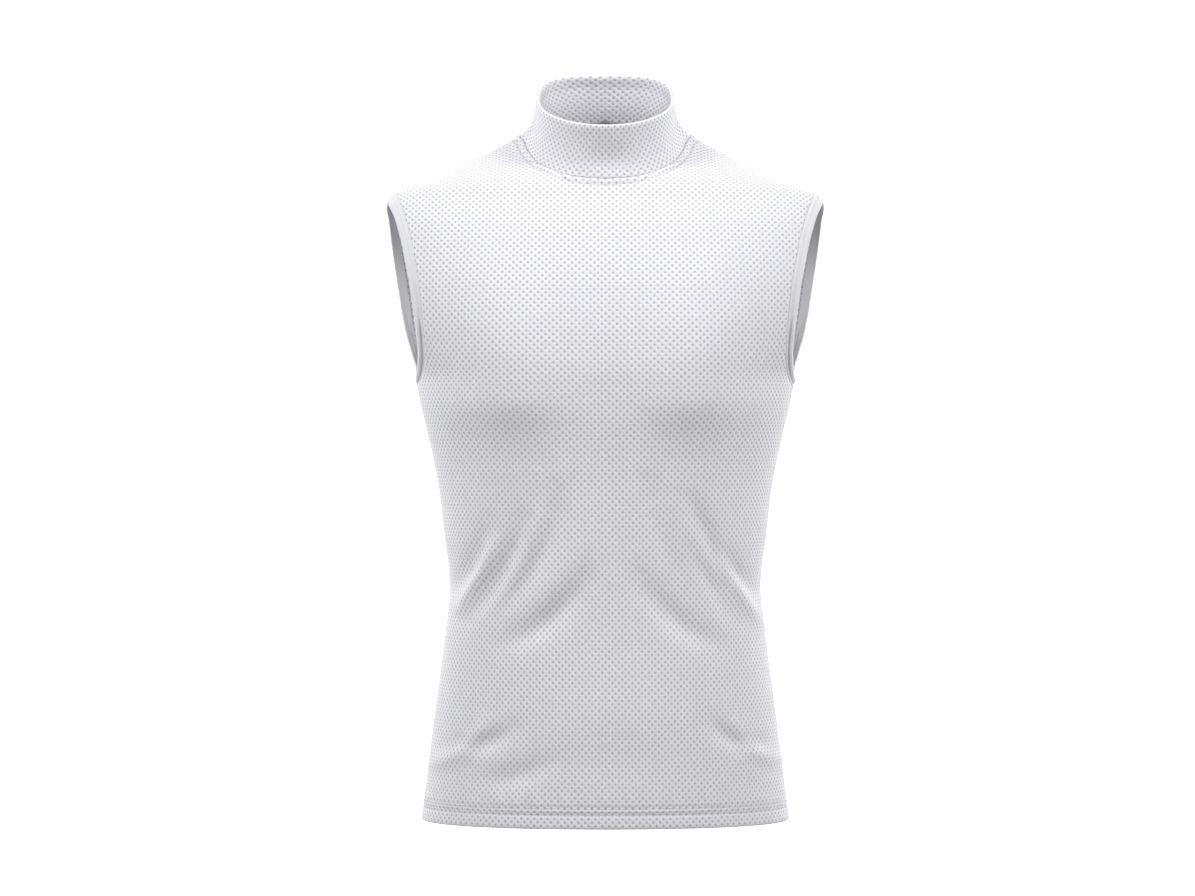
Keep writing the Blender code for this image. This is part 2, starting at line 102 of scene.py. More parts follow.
def curveThrough(at, knots, values):
    # a cubic through the knots whose slope at each one is that of its two neighbours
    knots, values = np.asarray(knots, float), np.asarray(values, float)
    slopes = np.gradient(values, knots)
    cell = np.clip(np.searchsorted(knots, at) - 1, 0, len(knots) - 2)
    width = knots[cell + 1] - knots[cell]
    t = np.clip((at - knots[cell]) / width, 0, 1)
    ends = values[cell] * (1 + 2 * t) * (1 - t) ** 2 + values[cell + 1] * t**2 * (3 - 2 * t)
    return ends + width * (slopes[cell] * t * (1 - t) ** 2 - slopes[cell + 1] * t**2 * (1 - t))


def ringAt(name, z):
    # one measure of the level ring at height z, on a curve through the table's rows
    return curveThrough(z, figure["height"], figure[name])


def bodyPoint(angle, z):
    # the ring |x/halfWidth|^power + |y/depth|^power = 1 at height z, met by the ray at this angle;
    # 0 is the centre front, 90 degrees the left side and 180 the centre back
    sine, cosine = np.sin(angle), np.cos(angle)
    middle, halfWidth = ringAt("sideY", z), ringAt("halfWidth", z)
    inFront = cosine > 0
    depth = np.where(inFront, middle - ringAt("frontY", z), ringAt("backY", z) - middle)
    power = np.where(inFront, ringAt("frontPower", z), ringAt("backPower", z))
    radius = (np.abs(sine / halfWidth) ** power + np.abs(cosine / depth) ** power) ** (-1 / power)
    return np.stack([radius * sine, middle - radius * cosine, z + 0 * angle], axis=-1)


def unit(vectors):
    # each vector divided by its own length
    return vectors / np.linalg.norm(vectors, axis=-1, keepdims=True)


def bodyNormal(angle, z):
    # outward: the way round the ring crossed with the way up the surface
    step = 1e-4
    around = bodyPoint(angle + step, z) - bodyPoint(angle - step, z)
    upward = bodyPoint(angle, z + step) - bodyPoint(angle, z - step)
    return unit(np.cross(around, upward))


def lengthsAlong(points):
    # the length of the line up to each of its points: its steps added up
    return np.append(0.0, np.cumsum(np.linalg.norm(np.diff(points, axis=0), axis=1)))


# Broad swells of the figure under the cloth, then the creases that the cloth hangs in. A positive
# depth is a ridge and a negative one a trough; bow bends a crease sideways at its middle.
swellColumns = ("face", "middleX", "height", "halfWidth", "rise", "fall", "depth")
swells = (
    ("front", -0.098, -0.252, 0.056, 0.100, 0.034, 0.0130),
    ("front", 0.090, -0.252, 0.056, 0.100, 0.034, 0.0130),
    ("front", 0.000, -0.335, 0.030, 0.060, 0.060, -0.0020),
    ("front", 0.000, -0.560, 0.090, 0.070, 0.080, 0.0030),
    ("back", -0.080, -0.165, 0.058, 0.080, 0.070, 0.0050),
    ("back", 0.080, -0.165, 0.058, 0.080, 0.070, 0.0050),
    ("back", 0.000, -0.330, 0.026, 0.150, 0.120, -0.0040),
)
creaseColumns = ("face", "x0", "height0", "x1", "height1", "bow", "halfWidth", "depth")
creases = (
    ("front", -0.146, -0.436, -0.110, -0.368, 0.004, 0.0080, -0.0034),
    ("front", -0.139, -0.452, -0.104, -0.388, 0.003, 0.0062, 0.0044),
    ("front", -0.129, -0.462, -0.078, -0.368, 0.007, 0.0085, -0.0046),
    ("front", -0.116, -0.458, -0.062, -0.366, 0.008, 0.0090, 0.0034),
    ("front", -0.104, -0.452, -0.044, -0.342, 0.012, 0.0105, -0.0036),
    ("front", -0.096, -0.484, -0.022, -0.424, 0.009, 0.0120, -0.0044),
    ("front", -0.070, -0.452, -0.014, -0.362, 0.010, 0.0170, 0.0024),
    ("front", 0.146, -0.464, 0.104, -0.386, -0.004, 0.0068, 0.0046),
    ("front", 0.140, -0.436, 0.080, -0.348, -0.006, 0.0088, -0.0048),
    ("front", 0.122, -0.462, 0.082, -0.392, -0.004, 0.0080, -0.0030),
    ("front", 0.112, -0.448, 0.048, -0.358, -0.009, 0.0100, 0.0028),
    ("front", 0.098, -0.436, 0.040, -0.334, -0.011, 0.0110, -0.0034),
    ("front", 0.108, -0.486, 0.034, -0.424, -0.008, 0.0120, -0.0042),
    ("front", -0.163, -0.600, -0.112, -0.556, 0.008, 0.0080, 0.0040),
    ("front", -0.138, -0.580, -0.088, -0.562, 0.006, 0.0085, -0.0044),
    ("front", 0.168, -0.598, 0.122, -0.560, -0.008, 0.0080, 0.0036),
    ("front", 0.148, -0.580, 0.100, -0.558, -0.006, 0.0085, -0.0042),
    ("front", -0.118, -0.612, -0.052, -0.594, 0.004, 0.0110, -0.0032),
    ("front", -0.060, -0.596, 0.070, -0.594, -0.004, 0.0260, -0.0020),
    ("back", 0.143, -0.438, 0.108, -0.372, -0.003, 0.0080, 0.0035),
    ("back", 0.134, -0.452, 0.076, -0.380, -0.005, 0.0095, -0.0042),
    ("back", 0.118, -0.474, 0.046, -0.410, -0.007, 0.0130, 0.0038),
    ("back", 0.104, -0.494, 0.030, -0.446, -0.006, 0.0120, -0.0042),
    ("back", -0.146, -0.446, -0.112, -0.380, 0.004, 0.0080, 0.0038),
    ("back", -0.132, -0.444, -0.084, -0.366, 0.005, 0.0095, -0.0038),
    ("back", -0.120, -0.478, -0.052, -0.402, 0.007, 0.0130, 0.0042),
    ("back", -0.100, -0.492, -0.028, -0.452, 0.006, 0.0120, -0.0038),
    ("back", 0.158, -0.590, 0.112, -0.556, -0.007, 0.0090, 0.0035),
    ("back", -0.154, -0.584, -0.104, -0.560, 0.007, 0.0100, 0.0035),
)
creaseLook = {
    "endShare": 0.35,  # depth left at a crease's two ends
    "fadeAngle": 9.0,  # degrees from the side seam over which swells and creases fade in
}


def swellHeight(x, z, middleX, height, halfWidth, rise, fall, depth):
    # a broad bell that reaches up by rise and down by fall
    reach = np.where(z > height, rise, fall)
    return depth * np.exp(-(((x - middleX) / halfWidth) ** 2) - ((z - height) / reach) ** 2)


def creaseHeight(x, z, x0, height0, x1, height1, bow, halfWidth, depth):
    # a bell across the line from one end to the other, lower at both ends
    run, rise = x1 - x0, height1 - height0
    length = math.hypot(run, rise)
    along = ((x - x0) * run + (z - height0) * rise) / length**2
    inside = np.clip(along, 0, 1)
    across = ((x - x0) * rise - (z - height0) * run) / length - bow * 4 * inside * (1 - inside)
    past = (along - inside) * length
    ends = 1 - (1 - creaseLook["endShare"]) * (2 * inside - 1) ** 2
    return depth * ends * np.exp(-(across**2 + past**2) / halfWidth**2)


def clothPoint(angle, z, lift=0.0):
    # the body surface, raised along its normal by the swells and creases and by lift
    point = bodyPoint(angle, z)
    relief = np.zeros(point.shape[:-1])
    inFront = np.cos(angle) > 0
    kinds = ((swellColumns, swells, swellHeight), (creaseColumns, creases, creaseHeight))
    for columns, table, heightOf in kinds:
        for row in table:
            sizes = dict(zip(columns, row))
            onFace = inFront == (sizes.pop("face") == "front")
            relief += onFace * heightOf(point[..., 0], point[..., 2], **sizes)
    fromSeam = np.degrees(np.arcsin(np.abs(np.cos(angle))))
    relief *= smoothStep(fromSeam, 0, creaseLook["fadeAngle"])
    return point + bodyNormal(angle, z) * (relief + lift)[..., None]


# The knit: how far apart its eyelets lie. The pitch across changes with the height, as the cloth
# is cut and stretched; every second row is moved by half a pitch.
knit = {
    "pitchHeights": (-0.656, -0.560, -0.430, -0.300, -0.200, 0.020),
    "pitches": (0.00638, 0.00618, 0.00627, 0.00660, 0.00692, 0.00692),
    "rowPair": 0.0065,
    "meanPitch": 0.0066,
    "holeWidth": 0.0026,
    "holeHeight": 0.0029,
    "holeDepth": 0.0005,
    "holeCorners": 6,
    # above the bend the columns run straight up and the rows follow the slope
    "shoulderBend": -0.150,
    "uprightFrom": -0.200,
    "uprightTo": -0.090,
    "tighterAtSide": 0.12,
    "knotsRound": 181,
    "knotsUp": 420,
    "belowHem": 0.002,
    "top": 0.024,
}

# Newton's steps from flat cloth back to the figure.
knitSolver = {
    "steps": 16,
    "probe": 0.004,
    "roughRadius": 0.16,
    "turnLimit": 0.15,
    "climbLimit": 0.03,
    "lowest": -0.001,
    "highest": 0.019,
    "leastArea": 1e-3,
}


def faceAngle(face, away):
    # the angle round the figure of a point this far from the middle of its panel
    return away if face == "front" else math.pi - away


def lengthUp(face, away, z):
    # length of the upright line, at constant x, from the shoulder bend up to each point
    low = knit["shoulderBend"]
    top = bodyPoint(faceAngle(face, away), z)
    share = 1 - np.linspace(0, 1, 41) ** 2  # closer together near the top, where the line bends most
    heights = low + (z - low)[..., None] * share
    halfWidth, middle = ringAt("halfWidth", heights), ringAt("sideY", heights)
    edge, power = ringAt(face + "Y", heights), ringAt(face + "Power", heights)
    inward = np.clip(1 - (np.abs(top[..., :1]) / halfWidth) ** power, 0, 1) ** (1 / power)
    y = middle + (edge - middle) * inward
    return np.hypot(np.diff(heights, axis=-1), np.diff(y, axis=-1)).sum(axis=-1)


def clothTables(face):
    # eyelet columns and rows at each knot of a fine net of angles and heights on one face
    away = np.linspace(0, math.pi / 2, knit["knotsRound"])
    z = np.linspace(cut["hem"] - knit["belowHem"], knit["top"], knit["knotsUp"])
    net = np.meshgrid(away, z, indexing="ij")
    points = bodyPoint(faceAngle(face, net[0]), net[1])
    steps = np.linalg.norm(np.diff(points, axis=0), axis=-1)
    around = np.concatenate([np.zeros((1, len(z))), np.cumsum(steps, axis=0)])
    x = np.abs(points[..., 0])
    straight = x + knit["tighterAtSide"] * x**2 / (2 * figure["halfWidth"].max())
    upright = smoothStep(net[1], knit["uprightFrom"], knit["uprightTo"])
    pitch = curveThrough(z, knit["pitchHeights"], knit["pitches"])
    columns = (around * (1 - upright) + straight * upright) / pitch
    bend = knit["shoulderBend"]
    sloping = lengthUp(face, net[0], np.maximum(net[1], bend))
    rows = (np.minimum(net[1], bend) - cut["hem"] + sloping) / knit["rowPair"]
    return away, z, columns, rows


tables = {face: clothTables(face) for face in ("front", "back")}


def sampled(table, row, column):
    # a table read between its knots, straight in both directions
    i = np.clip(row.astype(int), 0, table.shape[0] - 2)
    j = np.clip(column.astype(int), 0, table.shape[1] - 2)
    s, t = (row - i), (column - j)
    if table.ndim == 3:
        s, t = s[..., None], t[..., None]
    low = table[i, j] * (1 - s) + table[i + 1, j] * s
    high = table[i, j + 1] * (1 - s) + table[i + 1, j + 1] * s
    return low * (1 - t) + high * t


def toKnit(face, away, z):
    # eyelet column and row pair at a point of a face, counted from the middle and from the hem
    knots, heights, columns, rows = tables[face]
    i = np.abs(away) / knots[1]
    j = (z - heights[0]) / (heights[1] - heights[0])
    return np.sign(away) * sampled(columns, i, j), sampled(rows, i, j)


def fromKnit(face, column, row):
    # Newton's steps back from eyelet column and row to the angle and height
    side = np.where(column < 0, -1.0, 1.0)
    column = np.abs(column)
    away = column * knit["meanPitch"] / knitSolver["roughRadius"]
    z = cut["hem"] + row * knit["rowPair"]
    step, least = knitSolver["probe"], knitSolver["leastArea"]
    turnLimit, climbLimit = knitSolver["turnLimit"], knitSolver["climbLimit"]
    for _ in range(knitSolver["steps"]):
        away = np.clip(away, 0, math.pi / 2)
        z = np.clip(z, cut["hem"] + knitSolver["lowest"], knitSolver["highest"])
        c0, r0 = toKnit(face, away, z)
        ca, ra = toKnit(face, away + step, z)
        cz, rz = toKnit(face, away, z + step)
        ca, ra, cz, rz = (ca - c0) / step, (ra - r0) / step, (cz - c0) / step, (rz - r0) / step
        det = ca * rz - cz * ra
        det = np.where(np.abs(det) < least, least, det)
        dc, dr = column - c0, row - r0
        away = away + np.clip((dc * rz - dr * cz) / det, -turnLimit, turnLimit)
        z = z + np.clip((dr * ca - dc * ra) / det, -climbLimit, climbLimit)
    return side * np.clip(away, 0, math.pi / 2), z


def necklineHeight(angle):
    # height of the neck seam at each angle, on a curve through the cut's own heights
    return curveThrough(np.degrees(np.abs(angle)), cut["necklineAngles"], cut["necklineHeights"])


def armholeLine(distance=0.0):
    # the left armhole's edge, evenly stepped down the front and up the back, then moved away from
    # the armhole over the surface in small steps
    angle, z = np.radians(cut["armholeAngles"]), np.array(cut["armholeHeights"])
    count = len(z)
    wrapped = np.arange(-3, count + 4) % count
    run = lengthsAlong(bodyPoint(angle[wrapped], z[wrapped]))
    underarm, steps = int(np.argmin(z)), cut["armholeSteps"]
    halves = []
    for first, last in ((0, underarm), (underarm, count)):
        fine = np.linspace(run[3 + first], run[3 + last], cut["readSteps"])
        fineAngle = curveThrough(fine, run, angle[wrapped])
        fineZ = curveThrough(fine, run, z[wrapped])
        fineRun = lengthsAlong(bodyPoint(fineAngle, fineZ))
        even = np.linspace(0, fineRun[-1], steps + 1)[:-1]
        halves.append((np.interp(even, fineRun, fineAngle), np.interp(even, fineRun, fineZ)))
    angle, z = (np.concatenate(pair) for pair in zip(*halves))
    count = max(1, math.ceil(abs(distance) / cut["moveStep"]))
    for _ in range(count if distance else 0):
        angle, z = movedAway(angle, z, distance / count)
    return angle, z


def movedAway(angle, z, distance):
    # one step over the surface, square to the closed line
    step = 1e-4
    points = bodyPoint(angle, z)
    along = np.roll(points, -1, axis=0) - np.roll(points, 1, axis=0)
    around = (bodyPoint(angle + step, z) - bodyPoint(angle - step, z)) / (2 * step)
    upward = (bodyPoint(angle, z + step) - bodyPoint(angle, z - step)) / (2 * step)
    away = unit(np.cross(np.cross(around, upward), along))
    away *= np.sign((away * (points - points.mean(axis=0))).sum(axis=1).mean())
    aa, uu, au = ((p * q).sum(axis=1) for p, q in ((around, around), (upward, upward), (around, upward)))
    da, du = (around * away).sum(axis=1), (upward * away).sum(axis=1)
    scale = distance / (aa * uu - au**2)
    angle, z = angle + (da * uu - du * au) * scale, z + (du * aa - da * au) * scale
    angle[[0, len(angle) // 2]] = math.pi / 2
    return angle, z


def evenLine(face, away, z, step):
    # a line over the surface cut into equal steps
    run = lengthsAlong(bodyPoint(faceAngle(face, away), z))
    even = np.linspace(0, run[-1], max(2, round(run[-1] / step)) + 1)
    return np.interp(even, run, away), np.interp(even, run, z)


def panelEdge(face, inset, step):
    # half of a panel's edge, moved in by inset: hem, side seam, armhole, shoulder seam and neckline
    fine = np.linspace(0, 1, cut["edgeReadSteps"])
    armAngle, armZ = armholeLine(cut["bandWidth"] + cut["seamGap"] + inset)
    half = len(armZ) // 2
    rows = np.arange(half, -1, -1) if face == "front" else np.arange(half, 2 * half + 1) % (2 * half)
    armAway, armZ = np.abs(faceAngle(face, armAngle[rows])), armZ[rows]

    def seamAway(z):
        return math.pi / 2 - (cut["seamGap"] / 2 + inset) / ringAt("halfWidth", z)

    low = cut["hem"] + inset
    hemAway, hemZ = fine * seamAway(low), np.full_like(fine, low)
    inside = armAway < seamAway(armZ)
    armAway, armZ = armAway[inside], armZ[inside]
    sideZ = low + (armZ[0] - low) * fine
    sideAway = seamAway(sideZ)
    neckAway = math.pi / 2 * (1 - fine)
    neckZ = necklineHeight(faceAngle(face, neckAway)) - cut["seamGap"] / 2
    neckZ = neckZ - inset * neckSlope(face, neckAway)
    inside = neckAway < seamAway(neckZ)
    neckAway, neckZ = neckAway[inside], neckZ[inside]
    shoulderZ = armZ[-1] + (neckZ[0] - armZ[-1]) * fine
    shoulderAway = seamAway(shoulderZ)
    lines = ((hemAway, hemZ), (sideAway, sideZ), (armAway, armZ), (shoulderAway, shoulderZ),
             (neckAway, neckZ))
    parts = [tuple(values[:-1] for values in evenLine(face, *line, step)) for line in lines]
    parts.append((neckAway[-1:], neckZ[-1:]))
    return [np.concatenate(values) for values in zip(*parts)]


def neckSlope(face, away):
    # how far to go down in z for one metre over the surface below the neckline
    angle = faceAngle(face, away)
    z = necklineHeight(angle)
    step = 1e-4
    rise = (bodyPoint(angle, z + step) - bodyPoint(angle, z - step)) / (2 * step)
    return 1 / np.linalg.norm(rise, axis=-1)


# Rows of sewing, in metres over the cloth: below the neck seam and above the hem's folded edge.
sewing = {
    "neckRows": (0.0067,),
    "hemRows": (0.0145, 0.0200),
    "grooveHalfWidth": 0.0012,
    "grooveDepth": 0.0009,
    "neckPuff": 0.0011,
    "hemPuff": 0.0006,
    "betweenHemRows": 0.002,
    "shadeHalfWidth": 0.0009,
    "neckShadeBelow": 0.0008,
    "hemShadeBelow": 0.0006,
    "edgeShade": 0.0012,
    "pucker": 0.0006,
    "puckerBeyond": 0.004,
    "puckerReach": 0.0065,
    "neckPuckerShare": 0.5,
    "neckPuckerShift": 0.3,
    "neckPuckerSlant": 1.3,
    "puckerWaves": ((0.0173, 1.3, 0.6), (0.0291, 0.4, 0.5), (0.0107, 2.2, 0.25)),
    "hemFold": 0.0014,
    "foldInside": 0.0001,
    "lineStep": 0.0024,
    "linesBeside": (-0.0011, 0.0, 0.0011),
}


def belowNeck(face, away, z):
    # how far a point lies below the neck seam, over the cloth
    return (necklineHeight(faceAngle(face, away)) - z) / neckSlope(face, away)


def bell(distance, halfWidth):
    # e to the power of minus (distance / halfWidth) squared
    return np.exp(-((distance / halfWidth) ** 2))


def puckers(along):
    # an uneven ripple: three sine waves added, each with its length, its shift and its share
    ripple = 0
    for length, shift, share in sewing["puckerWaves"]:
        ripple = ripple + share * np.sin(2 * math.pi * along / length + shift)
    return ripple


def sewnRelief(face, away, z):
    # the cloth pressed in by the rows of sewing, puffed up between them and rippled beside them
    below, above = belowNeck(face, away, z), z - cut["hem"]
    neckRow, hemLow, hemHigh = sewing["neckRows"][0], *sewing["hemRows"]
    groove = sewing["grooveHalfWidth"]
    grooves = bell(below - neckRow, groove)
    grooves = grooves + bell(above - hemLow, groove) + bell(above - hemHigh, groove)
    neckPuff = smoothStep(below, 0, 0.3 * neckRow) * (1 - smoothStep(below, 0.6 * neckRow, neckRow))
    hemPuff = smoothStep(above, 0, 0.2 * hemLow) * (1 - smoothStep(above, 0.7 * hemLow, hemLow))
    hemPuff = hemPuff + bell(above - (hemLow + hemHigh) / 2, sewing["betweenHemRows"])
    x = np.sin(away) * ringAt("halfWidth", z)
    beyond, reach = sewing["puckerBeyond"], sewing["puckerReach"]
    ripple = puckers(x) * bell(above - hemHigh - beyond, reach)
    slanted = x + sewing["neckPuckerShift"] + sewing["neckPuckerSlant"] * z
    nearNeck = bell(below - neckRow - beyond, reach)
    ripple = ripple + sewing["neckPuckerShare"] * puckers(slanted) * nearNeck
    relief = sewing["neckPuff"] * neckPuff + sewing["hemPuff"] * hemPuff + sewing["pucker"] * ripple
    relief = relief - sewing["grooveDepth"] * grooves
    return relief - roundedDrop(above, sewing["hemFold"])


def sewnShade(face, away, z):
    # painted shade: 1 in the grooves of the sewing and along the hem's folded edge, 0 on the open cloth
    below, above = belowNeck(face, away, z), z - cut["hem"]
    shade = np.zeros_like(z)
    for row in sewing["neckRows"]:
        shade = shade + bell(below - row - sewing["neckShadeBelow"], sewing["shadeHalfWidth"])
    for row in sewing["hemRows"]:
        shade = shade + bell(above - row + sewing["hemShadeBelow"], sewing["shadeHalfWidth"])
    return np.clip(shade + 1 - smoothStep(above, 0, sewing["edgeShade"]), 0, 1)


def roundedDrop(distance, radius):
    # how far a quarter-round edge lies below the flat beside it
    inside = np.clip(radius - distance, 0.0, radius)
    return radius - np.sqrt(radius**2 - inside**2)


def mirroredLine(away, z):
    # the left half's line, then its mirror image back to the middle of the hem
    return np.concatenate([away, -away[-2:0:-1]]), np.concatenate([z, z[-2:0:-1]])


def trianglesInside(points, edgeCount):
    # Delaunay triangles of the points inside the closed edge that the first ones draw
    places, closed = [Vector(p) for p in points.tolist()], [list(range(edgeCount))]
    found = delaunay_2d_cdt(places, [], closed, 1, 1e-7, True)
    source = np.array([ids[0] if ids else -1 for ids in found[3]])
    triangles = source[np.array(found[2])]
    if (triangles < 0).any():
        raise ValueError("the net's edge crosses itself")
    # those that only bridge a hollow of the edge lie outside it
    onEdge = (triangles < edgeCount).all(axis=1)
    kept = ~onEdge
    kept[onEdge] = insideEdge(points[triangles[onEdge]].mean(axis=1), points[:edgeCount]) > 0
    return triangles[kept]


def insideEdge(points, edge):
    # how far each point lies from the closed edge; below 0 outside it
    start, end = edge, np.roll(edge, -1, axis=0)
    along = end - start
    size = (along**2).sum(axis=1)
    found = []
    for part in np.array_split(points, max(1, len(points) // 2000)):
        to = part[:, None] - start
        share = np.clip((to * along).sum(axis=-1) / size, 0, 1)
        apart = np.linalg.norm(to - share[..., None] * along, axis=-1).min(axis=1)
        above = start[:, 1] > part[:, 1, None]
        rise = np.where(along[:, 1] == 0, 1e-12, along[:, 1])
        edgeX = start[:, 0] + along[:, 0] * (part[:, 1, None] - start[:, 1]) / rise
        crosses = (above != (end[:, 1] > part[:, 1, None])) & (part[:, 0, None] < edgeX)
        found.append(np.where(crosses.sum(axis=1) % 2 == 1, apart, -apart))
    return np.concatenate(found)


def eyelets(columns, rows):
    # centres of the eyelets in a box of the knit, in metres: whole columns, then half-way ones
    low, high = np.floor([columns[0], rows[0]]), np.ceil([columns[1], rows[1]])
    spans = [np.arange(low[k], high[k] + 1) for k in (0, 1)]
    whole = np.stack(np.meshgrid(*spans), axis=-1)
    both = np.concatenate([whole.reshape(-1, 2), whole.reshape(-1, 2) + 0.5])
    return both * (knit["meanPitch"], knit["rowPair"])


def holePoints(centres):
    # an oval ring of corners round each centre, then the centres themselves
    turn = np.arange(knit["holeCorners"]) * 2 * math.pi / knit["holeCorners"] + math.pi / 2
    ring = np.stack([knit["holeWidth"] / 2 * np.cos(turn), knit["holeHeight"] / 2 * np.sin(turn)], axis=1)
    return np.concatenate([(centres[:, None] + ring).reshape(-1, 2), centres])


def addPiece(name, points, faces, looks, maps=(), shade=None):
    # a mesh from its points and faces; each map gives a place for every corner of every face
    mesh = bpy.data.meshes.new(name)
    corners = [face for group in faces for face in group.tolist()]
    mesh.from_pydata(points.reshape(-1, 3).tolist(), [], corners)
    for mapName, values in maps:
        layer = mesh.uv_layers.new(name=mapName)
        layer.data.foreach_set("uv", np.ascontiguousarray(values, dtype=np.float32).ravel())
    if shade is not None:
        shades = mesh.attributes.new("seamShade", "FLOAT", "POINT")
        shades.data.foreach_set("value", shade.astype(np.float32))
    mesh.polygons.foreach_set("use_smooth", np.ones(len(mesh.polygons), bool))
    mesh.update()
    piece = bpy.data.objects.new(name, mesh)
    bpy.context.scene.collection.objects.link(piece)
    mesh.materials.append(looks)
    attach(piece, "root")
    return piece


def volumeOf(points, triangles):
    # the sum of the small pyramids from the origin to each triangle, below 0 where they face inwards
    a, b, c = (points[triangles[:, k]] for k in range(3))
    return (a * np.cross(b, c)).sum() / 6


class Wire:
    # one output socket; sums, products and powers of wires add Math nodes to the look they belong to

    def __init__(self, look, socket):
        self.look, self.socket = look, socket

    def joined(self, operation, other, turned=False):
        # a Math node on this wire and the other, or on the other and this wire
        pair = (other, self) if turned else (self, other)
        return self.look.node("ShaderNodeMath", {"operation": operation}, {0: pair[0], 1: pair[1]})

    def __add__(self, other):
        return self.joined("ADD", other)

    def __radd__(self, other):
        return self.joined("ADD", other, True)

    def __sub__(self, other):
        return self.joined("SUBTRACT", other)

    def __rsub__(self, other):
        return self.joined("SUBTRACT", other, True)

    def __mul__(self, other):
        return self.joined("MULTIPLY", other)

    def __rmul__(self, other):
        return self.joined("MULTIPLY", other, True)

    def __pow__(self, other):
        return self.joined("POWER", other)

    def fract(self):
        return self.joined("FRACT", 0.0)

    def wave(self):
        return self.joined("SINE", 0.0)

    def least(self, other):
        return self.joined("MINIMUM", other)

    def between(self, low, high):
        # rises smoothly from 0 at low to 1 at high
        settings = {"interpolation_type": "SMOOTHSTEP"}
        return self.look.node("ShaderNodeMapRange", settings, {0: self, 1: low, 2: high})


class Look:
    # a material with one Principled shader

    def __init__(self, name, **values):
        self.material = bpy.data.materials.new(name)
        self.material.use_nodes = True
        self.nodes = self.material.node_tree.nodes
        self.shader = self.nodes["Principled BSDF"]
        for socket, value in values.items():
            self.shader.inputs[socket.replace("_", " ")].default_value = value

    def node(self, kind, settings=None, values=None, output=0):
        # any node: its settings first, then the values or wires of its sockets
        made = self.nodes.new(kind)
        for name, value in (settings or {}).items():
            setattr(made, name, value)
        for name, value in (values or {}).items():
            self.feed(made.inputs[name], value)
        return Wire(self, made.outputs[output])

    def feed(self, socket, value):
        # a wire is linked to the socket and a plain value is set on it
        if isinstance(value, Wire):
            self.material.node_tree.links.new(value.socket, socket)
        else:
            socket.default_value = value

    def mixed(self, share, low, high):
        # a Mix node set to colour has its factor, A and B on sockets 0, 6 and 7
        return self.node("ShaderNodeMix", {"data_type": "RGBA"}, {0: share, 6: low, 7: high}, 2)

    def bump(self, height, distance, strength=1.0):
        values = {"Height": height, "Distance": distance, "Strength": strength}
        self.feed(self.shader.inputs["Normal"], self.node("ShaderNodeBump", None, values))

    def split(self, place):
        # the first two parts of a place
        parts = self.node("ShaderNodeSeparateXYZ", None, {0: place})
        return parts, Wire(self, parts.socket.node.outputs[1])

    def speckle(self, scale, detail):
        # fine noise fixed to the piece
        place = self.node("ShaderNodeTexCoord", None, None, 3)
        return self.node("ShaderNodeTexNoise", None, {"Vector": place, "Scale": scale, "Detail": detail})

    def tone(self, noise, darkest):
        # the noise's middle range read as a tone from darkest to 1
        return self.node("ShaderNodeMapRange", None, {0: noise, 1: 0.3, 2: 0.7, 3: darkest, 4: 1.0})

    def seamShade(self):
        # the painted shade of the sewing's grooves, the hem's fold and the band's crease, kept on the
        # points of the mesh
        return self.node("ShaderNodeAttribute", {"attribute_name": "seamShade"}, None, 2)

    def colourScaled(self, colour, tone):
        made = self.node("ShaderNodeVectorMath", {"operation": "SCALE"}, {0: colour, "Scale": tone})
        self.feed(self.shader.inputs["Base Color"], made)


knitLook = {
    "cloth": (0.80, 0.80, 0.83, 1.0),
    # painted shade: the grey that the shadowed inside shows through an eyelet
    "holeShade": (0.42, 0.41, 0.47, 1.0),
    "holeShadeShare": 0.85,
    "holeInner": 0.0007,
    "holeOuter": 0.0016,
    "ridgeInner": 0.0012,
    "ridgeOuter": 0.0026,
    "ridgeRise": 0.00012,
    "loopsAcross": 8,
    "loopRise": 0.00004,
    "speckleScale": 420.0,
    "speckleDetail": 3.0,
    "speckleRise": 0.0001,
    "darkest": 0.955,
    "seamShadeStrength": 0.30,
    "roughness": 0.88,
    "sheen": 0.12,
}


def knitMaterial():
    # the map named knit counts eyelet columns and row pairs; the eyelets stand at whole numbers
    # and at halves, with painted shade out to a radius and ringed by a low ridge
    look = Look("eyelet knit", Roughness=knitLook["roughness"], Sheen_Weight=knitLook["sheen"])
    column, row = look.split(look.node("ShaderNodeUVMap", {"uv_map": "knit"}))

    def fromEyelet(shift):
        across = ((column + shift).fract() - 0.5) * knit["meanPitch"]
        up = ((row + shift).fract() - 0.5) * knit["rowPair"]
        return (across * across + up * up) ** 0.5

    near = fromEyelet(0.5).least(fromEyelet(0.0))
    holeShade = 1 - near.between(knitLook["holeInner"], knitLook["holeOuter"])
    ridge = near.between(knitLook["ridgeInner"], knitLook["ridgeOuter"])
    noise = look.speckle(knitLook["speckleScale"], knitLook["speckleDetail"])
    # painted shade: each eyelet's middle takes the grey of the shade seen through it
    colour = look.mixed(holeShade * knitLook["holeShadeShare"], knitLook["cloth"], knitLook["holeShade"])
    tone = look.tone(noise, knitLook["darkest"])
    # painted shade: the sewing's grooves and the hem's fold darken the colour
    look.colourScaled(colour, tone * (1 - look.seamShade() * knitLook["seamShadeStrength"]))
    turn = 2 * math.pi * knitLook["loopsAcross"]
    loops = (column * turn).wave() * (row * turn).wave()
    height = ridge * knitLook["ridgeRise"] + loops * knitLook["loopRise"]
    look.bump(height + noise * knitLook["speckleRise"], 1.0)
    return look.material


bindingLook = {
    "cloth": (0.83, 0.83, 0.86),
    "ribPitch": 0.0009,
    "ribRise": 0.00009,
    "alongShare": 0.6,
    "speckleScale": 500.0,
    "speckleDetail": 2.0,
    "speckleRise": 0.00012,
    "darkest": 0.95,
    "roughness": 0.85,
    "sheen": 0.15,
}


